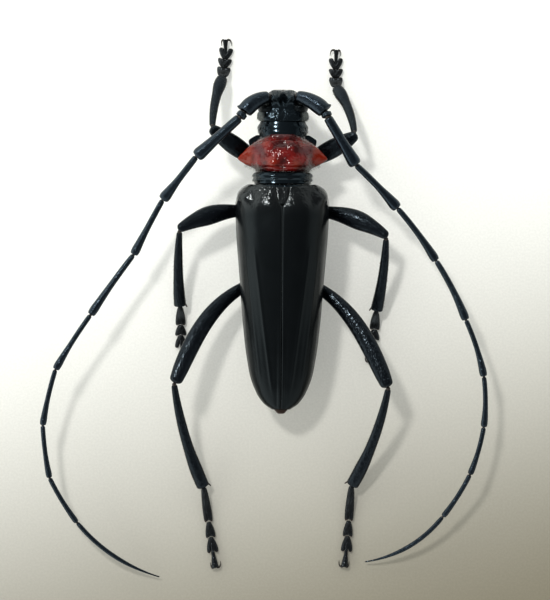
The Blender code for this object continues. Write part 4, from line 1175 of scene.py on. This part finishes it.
def build_light():
    """A soft lamp up on the left and ahead, in a room that is bright all round and dark overhead."""
    lamp = bpy.data.lights.new("lamp", "SPOT")
    lamp.energy = LAMP_POWER
    lamp.shadow_soft_size = LAMP_SIZE
    lamp.spot_size = radians(LAMP_CONE)
    lamp.spot_blend = 1
    lamp.color = LAMP_COLOUR
    holder = add_object("lamp", lamp)
    way = Vector(LAMP_WAY)
    holder.location = ORIGIN + Vector(LAMP_AIM) * MM + way
    holder.rotation_euler = way.to_track_quat("Z", "Y").to_euler()

    world = bpy.data.worlds.new("room")
    world.use_nodes = True
    tree = world.node_tree
    way = node(tree, "SeparateXYZ", {"Vector": node(tree, "TexCoord").outputs["Generated"]})
    height = node(tree, "ValToRGB", {"Fac": way.outputs["Z"]})
    for stop, place, colour in zip(height.color_ramp.elements, (0.52, 0.66), (ROOM_LOW, ROOM_TOP)):
        stop.position, stop.color = place, (*colour, 1)
    side = ease(way.outputs["X"], -1, 1, 1.2, 0.5)
    wire(tree.nodes["Background"], {"Color": shaded(height.outputs["Color"], side)})
    bpy.context.scene.world = world


def build_camera():
    """Camera straight above, framed as the picture is."""
    camera = bpy.data.cameras.new("camera")
    camera.sensor_fit = "VERTICAL"
    camera.sensor_height = SENSOR
    camera.lens = SENSOR * (CAMERA_HEIGHT - BODY_LEVEL) / PICTURE_HEIGHT
    camera.clip_start = 0.01
    camera.clip_end = 5
    holder = add_object("camera", camera)
    holder.location = ORIGIN + Vector((*CAMERA_OVER, CAMERA_HEIGHT)) * MM
    holder.rotation_euler = (0, 0, radians(CAMERA_ROLL))
    bpy.context.scene.camera = holder
    settings = bpy.context.scene.view_settings
    settings.view_transform = "Standard"
    settings.look = "Medium High Contrast"
    settings.exposure = EXPOSURE


def main():
    """Build the stage, then the beetle from head to tail, its limbs and its hair."""
    build_camera()
    build_light()
    build_floor(pale_card())
    black = black_shell("black_shell", False)
    downy = black_shell("downy_shell", True)
    mouth = horn_brown("mouth_brown", (0.012, 0.007, 0.005), (0.05, 0.022, 0.012), 0.35)
    brown = horn_brown("joint_brown", (0.006, 0.004, 0.004), (0.02, 0.01, 0.007), 0.4)
    blue_black = (0.0015, 0.002, 0.003)
    feeler = limb_black("feeler_black", blue_black, (0.6, 0.8, 1), 0.16, 0.04, 0.012, 0.6, (0.5, 0.5, 1.9))
    leg_black = limb_black("leg_black", blue_black, (0.7, 0.86, 1), 0.17, 0.04, 0.02, 0.32)
    foot = limb_black("foot_black", (0.003, 0.003, 0.003), (0.8, 0.9, 1), 0.2, 0.05, 0.02, 0.42,
                      rim=(0.06, 0.025, 0.012))
    build_head(downy, eye_black(), mouth)
    build_collars(downy)
    build_shield(shield_red(), black)
    satin = wing_black()
    build_wings(satin)
    build_scutellum(satin)
    build_body(black, mouth)
    build_feelers(feeler, brown)
    for leg in LEGS:
        build_leg(leg, leg_black, brown)
        build_foot(leg, foot, brown)
    pale = hair_finish("pale_hair", (0.14, 0.14, 0.13), (0.4, 0.4, 0.38))
    tawny = hair_finish("tawny_hair", (0.06, 0.035, 0.02), (0.2, 0.12, 0.06))
    build_hair(pale, tawny)


main()
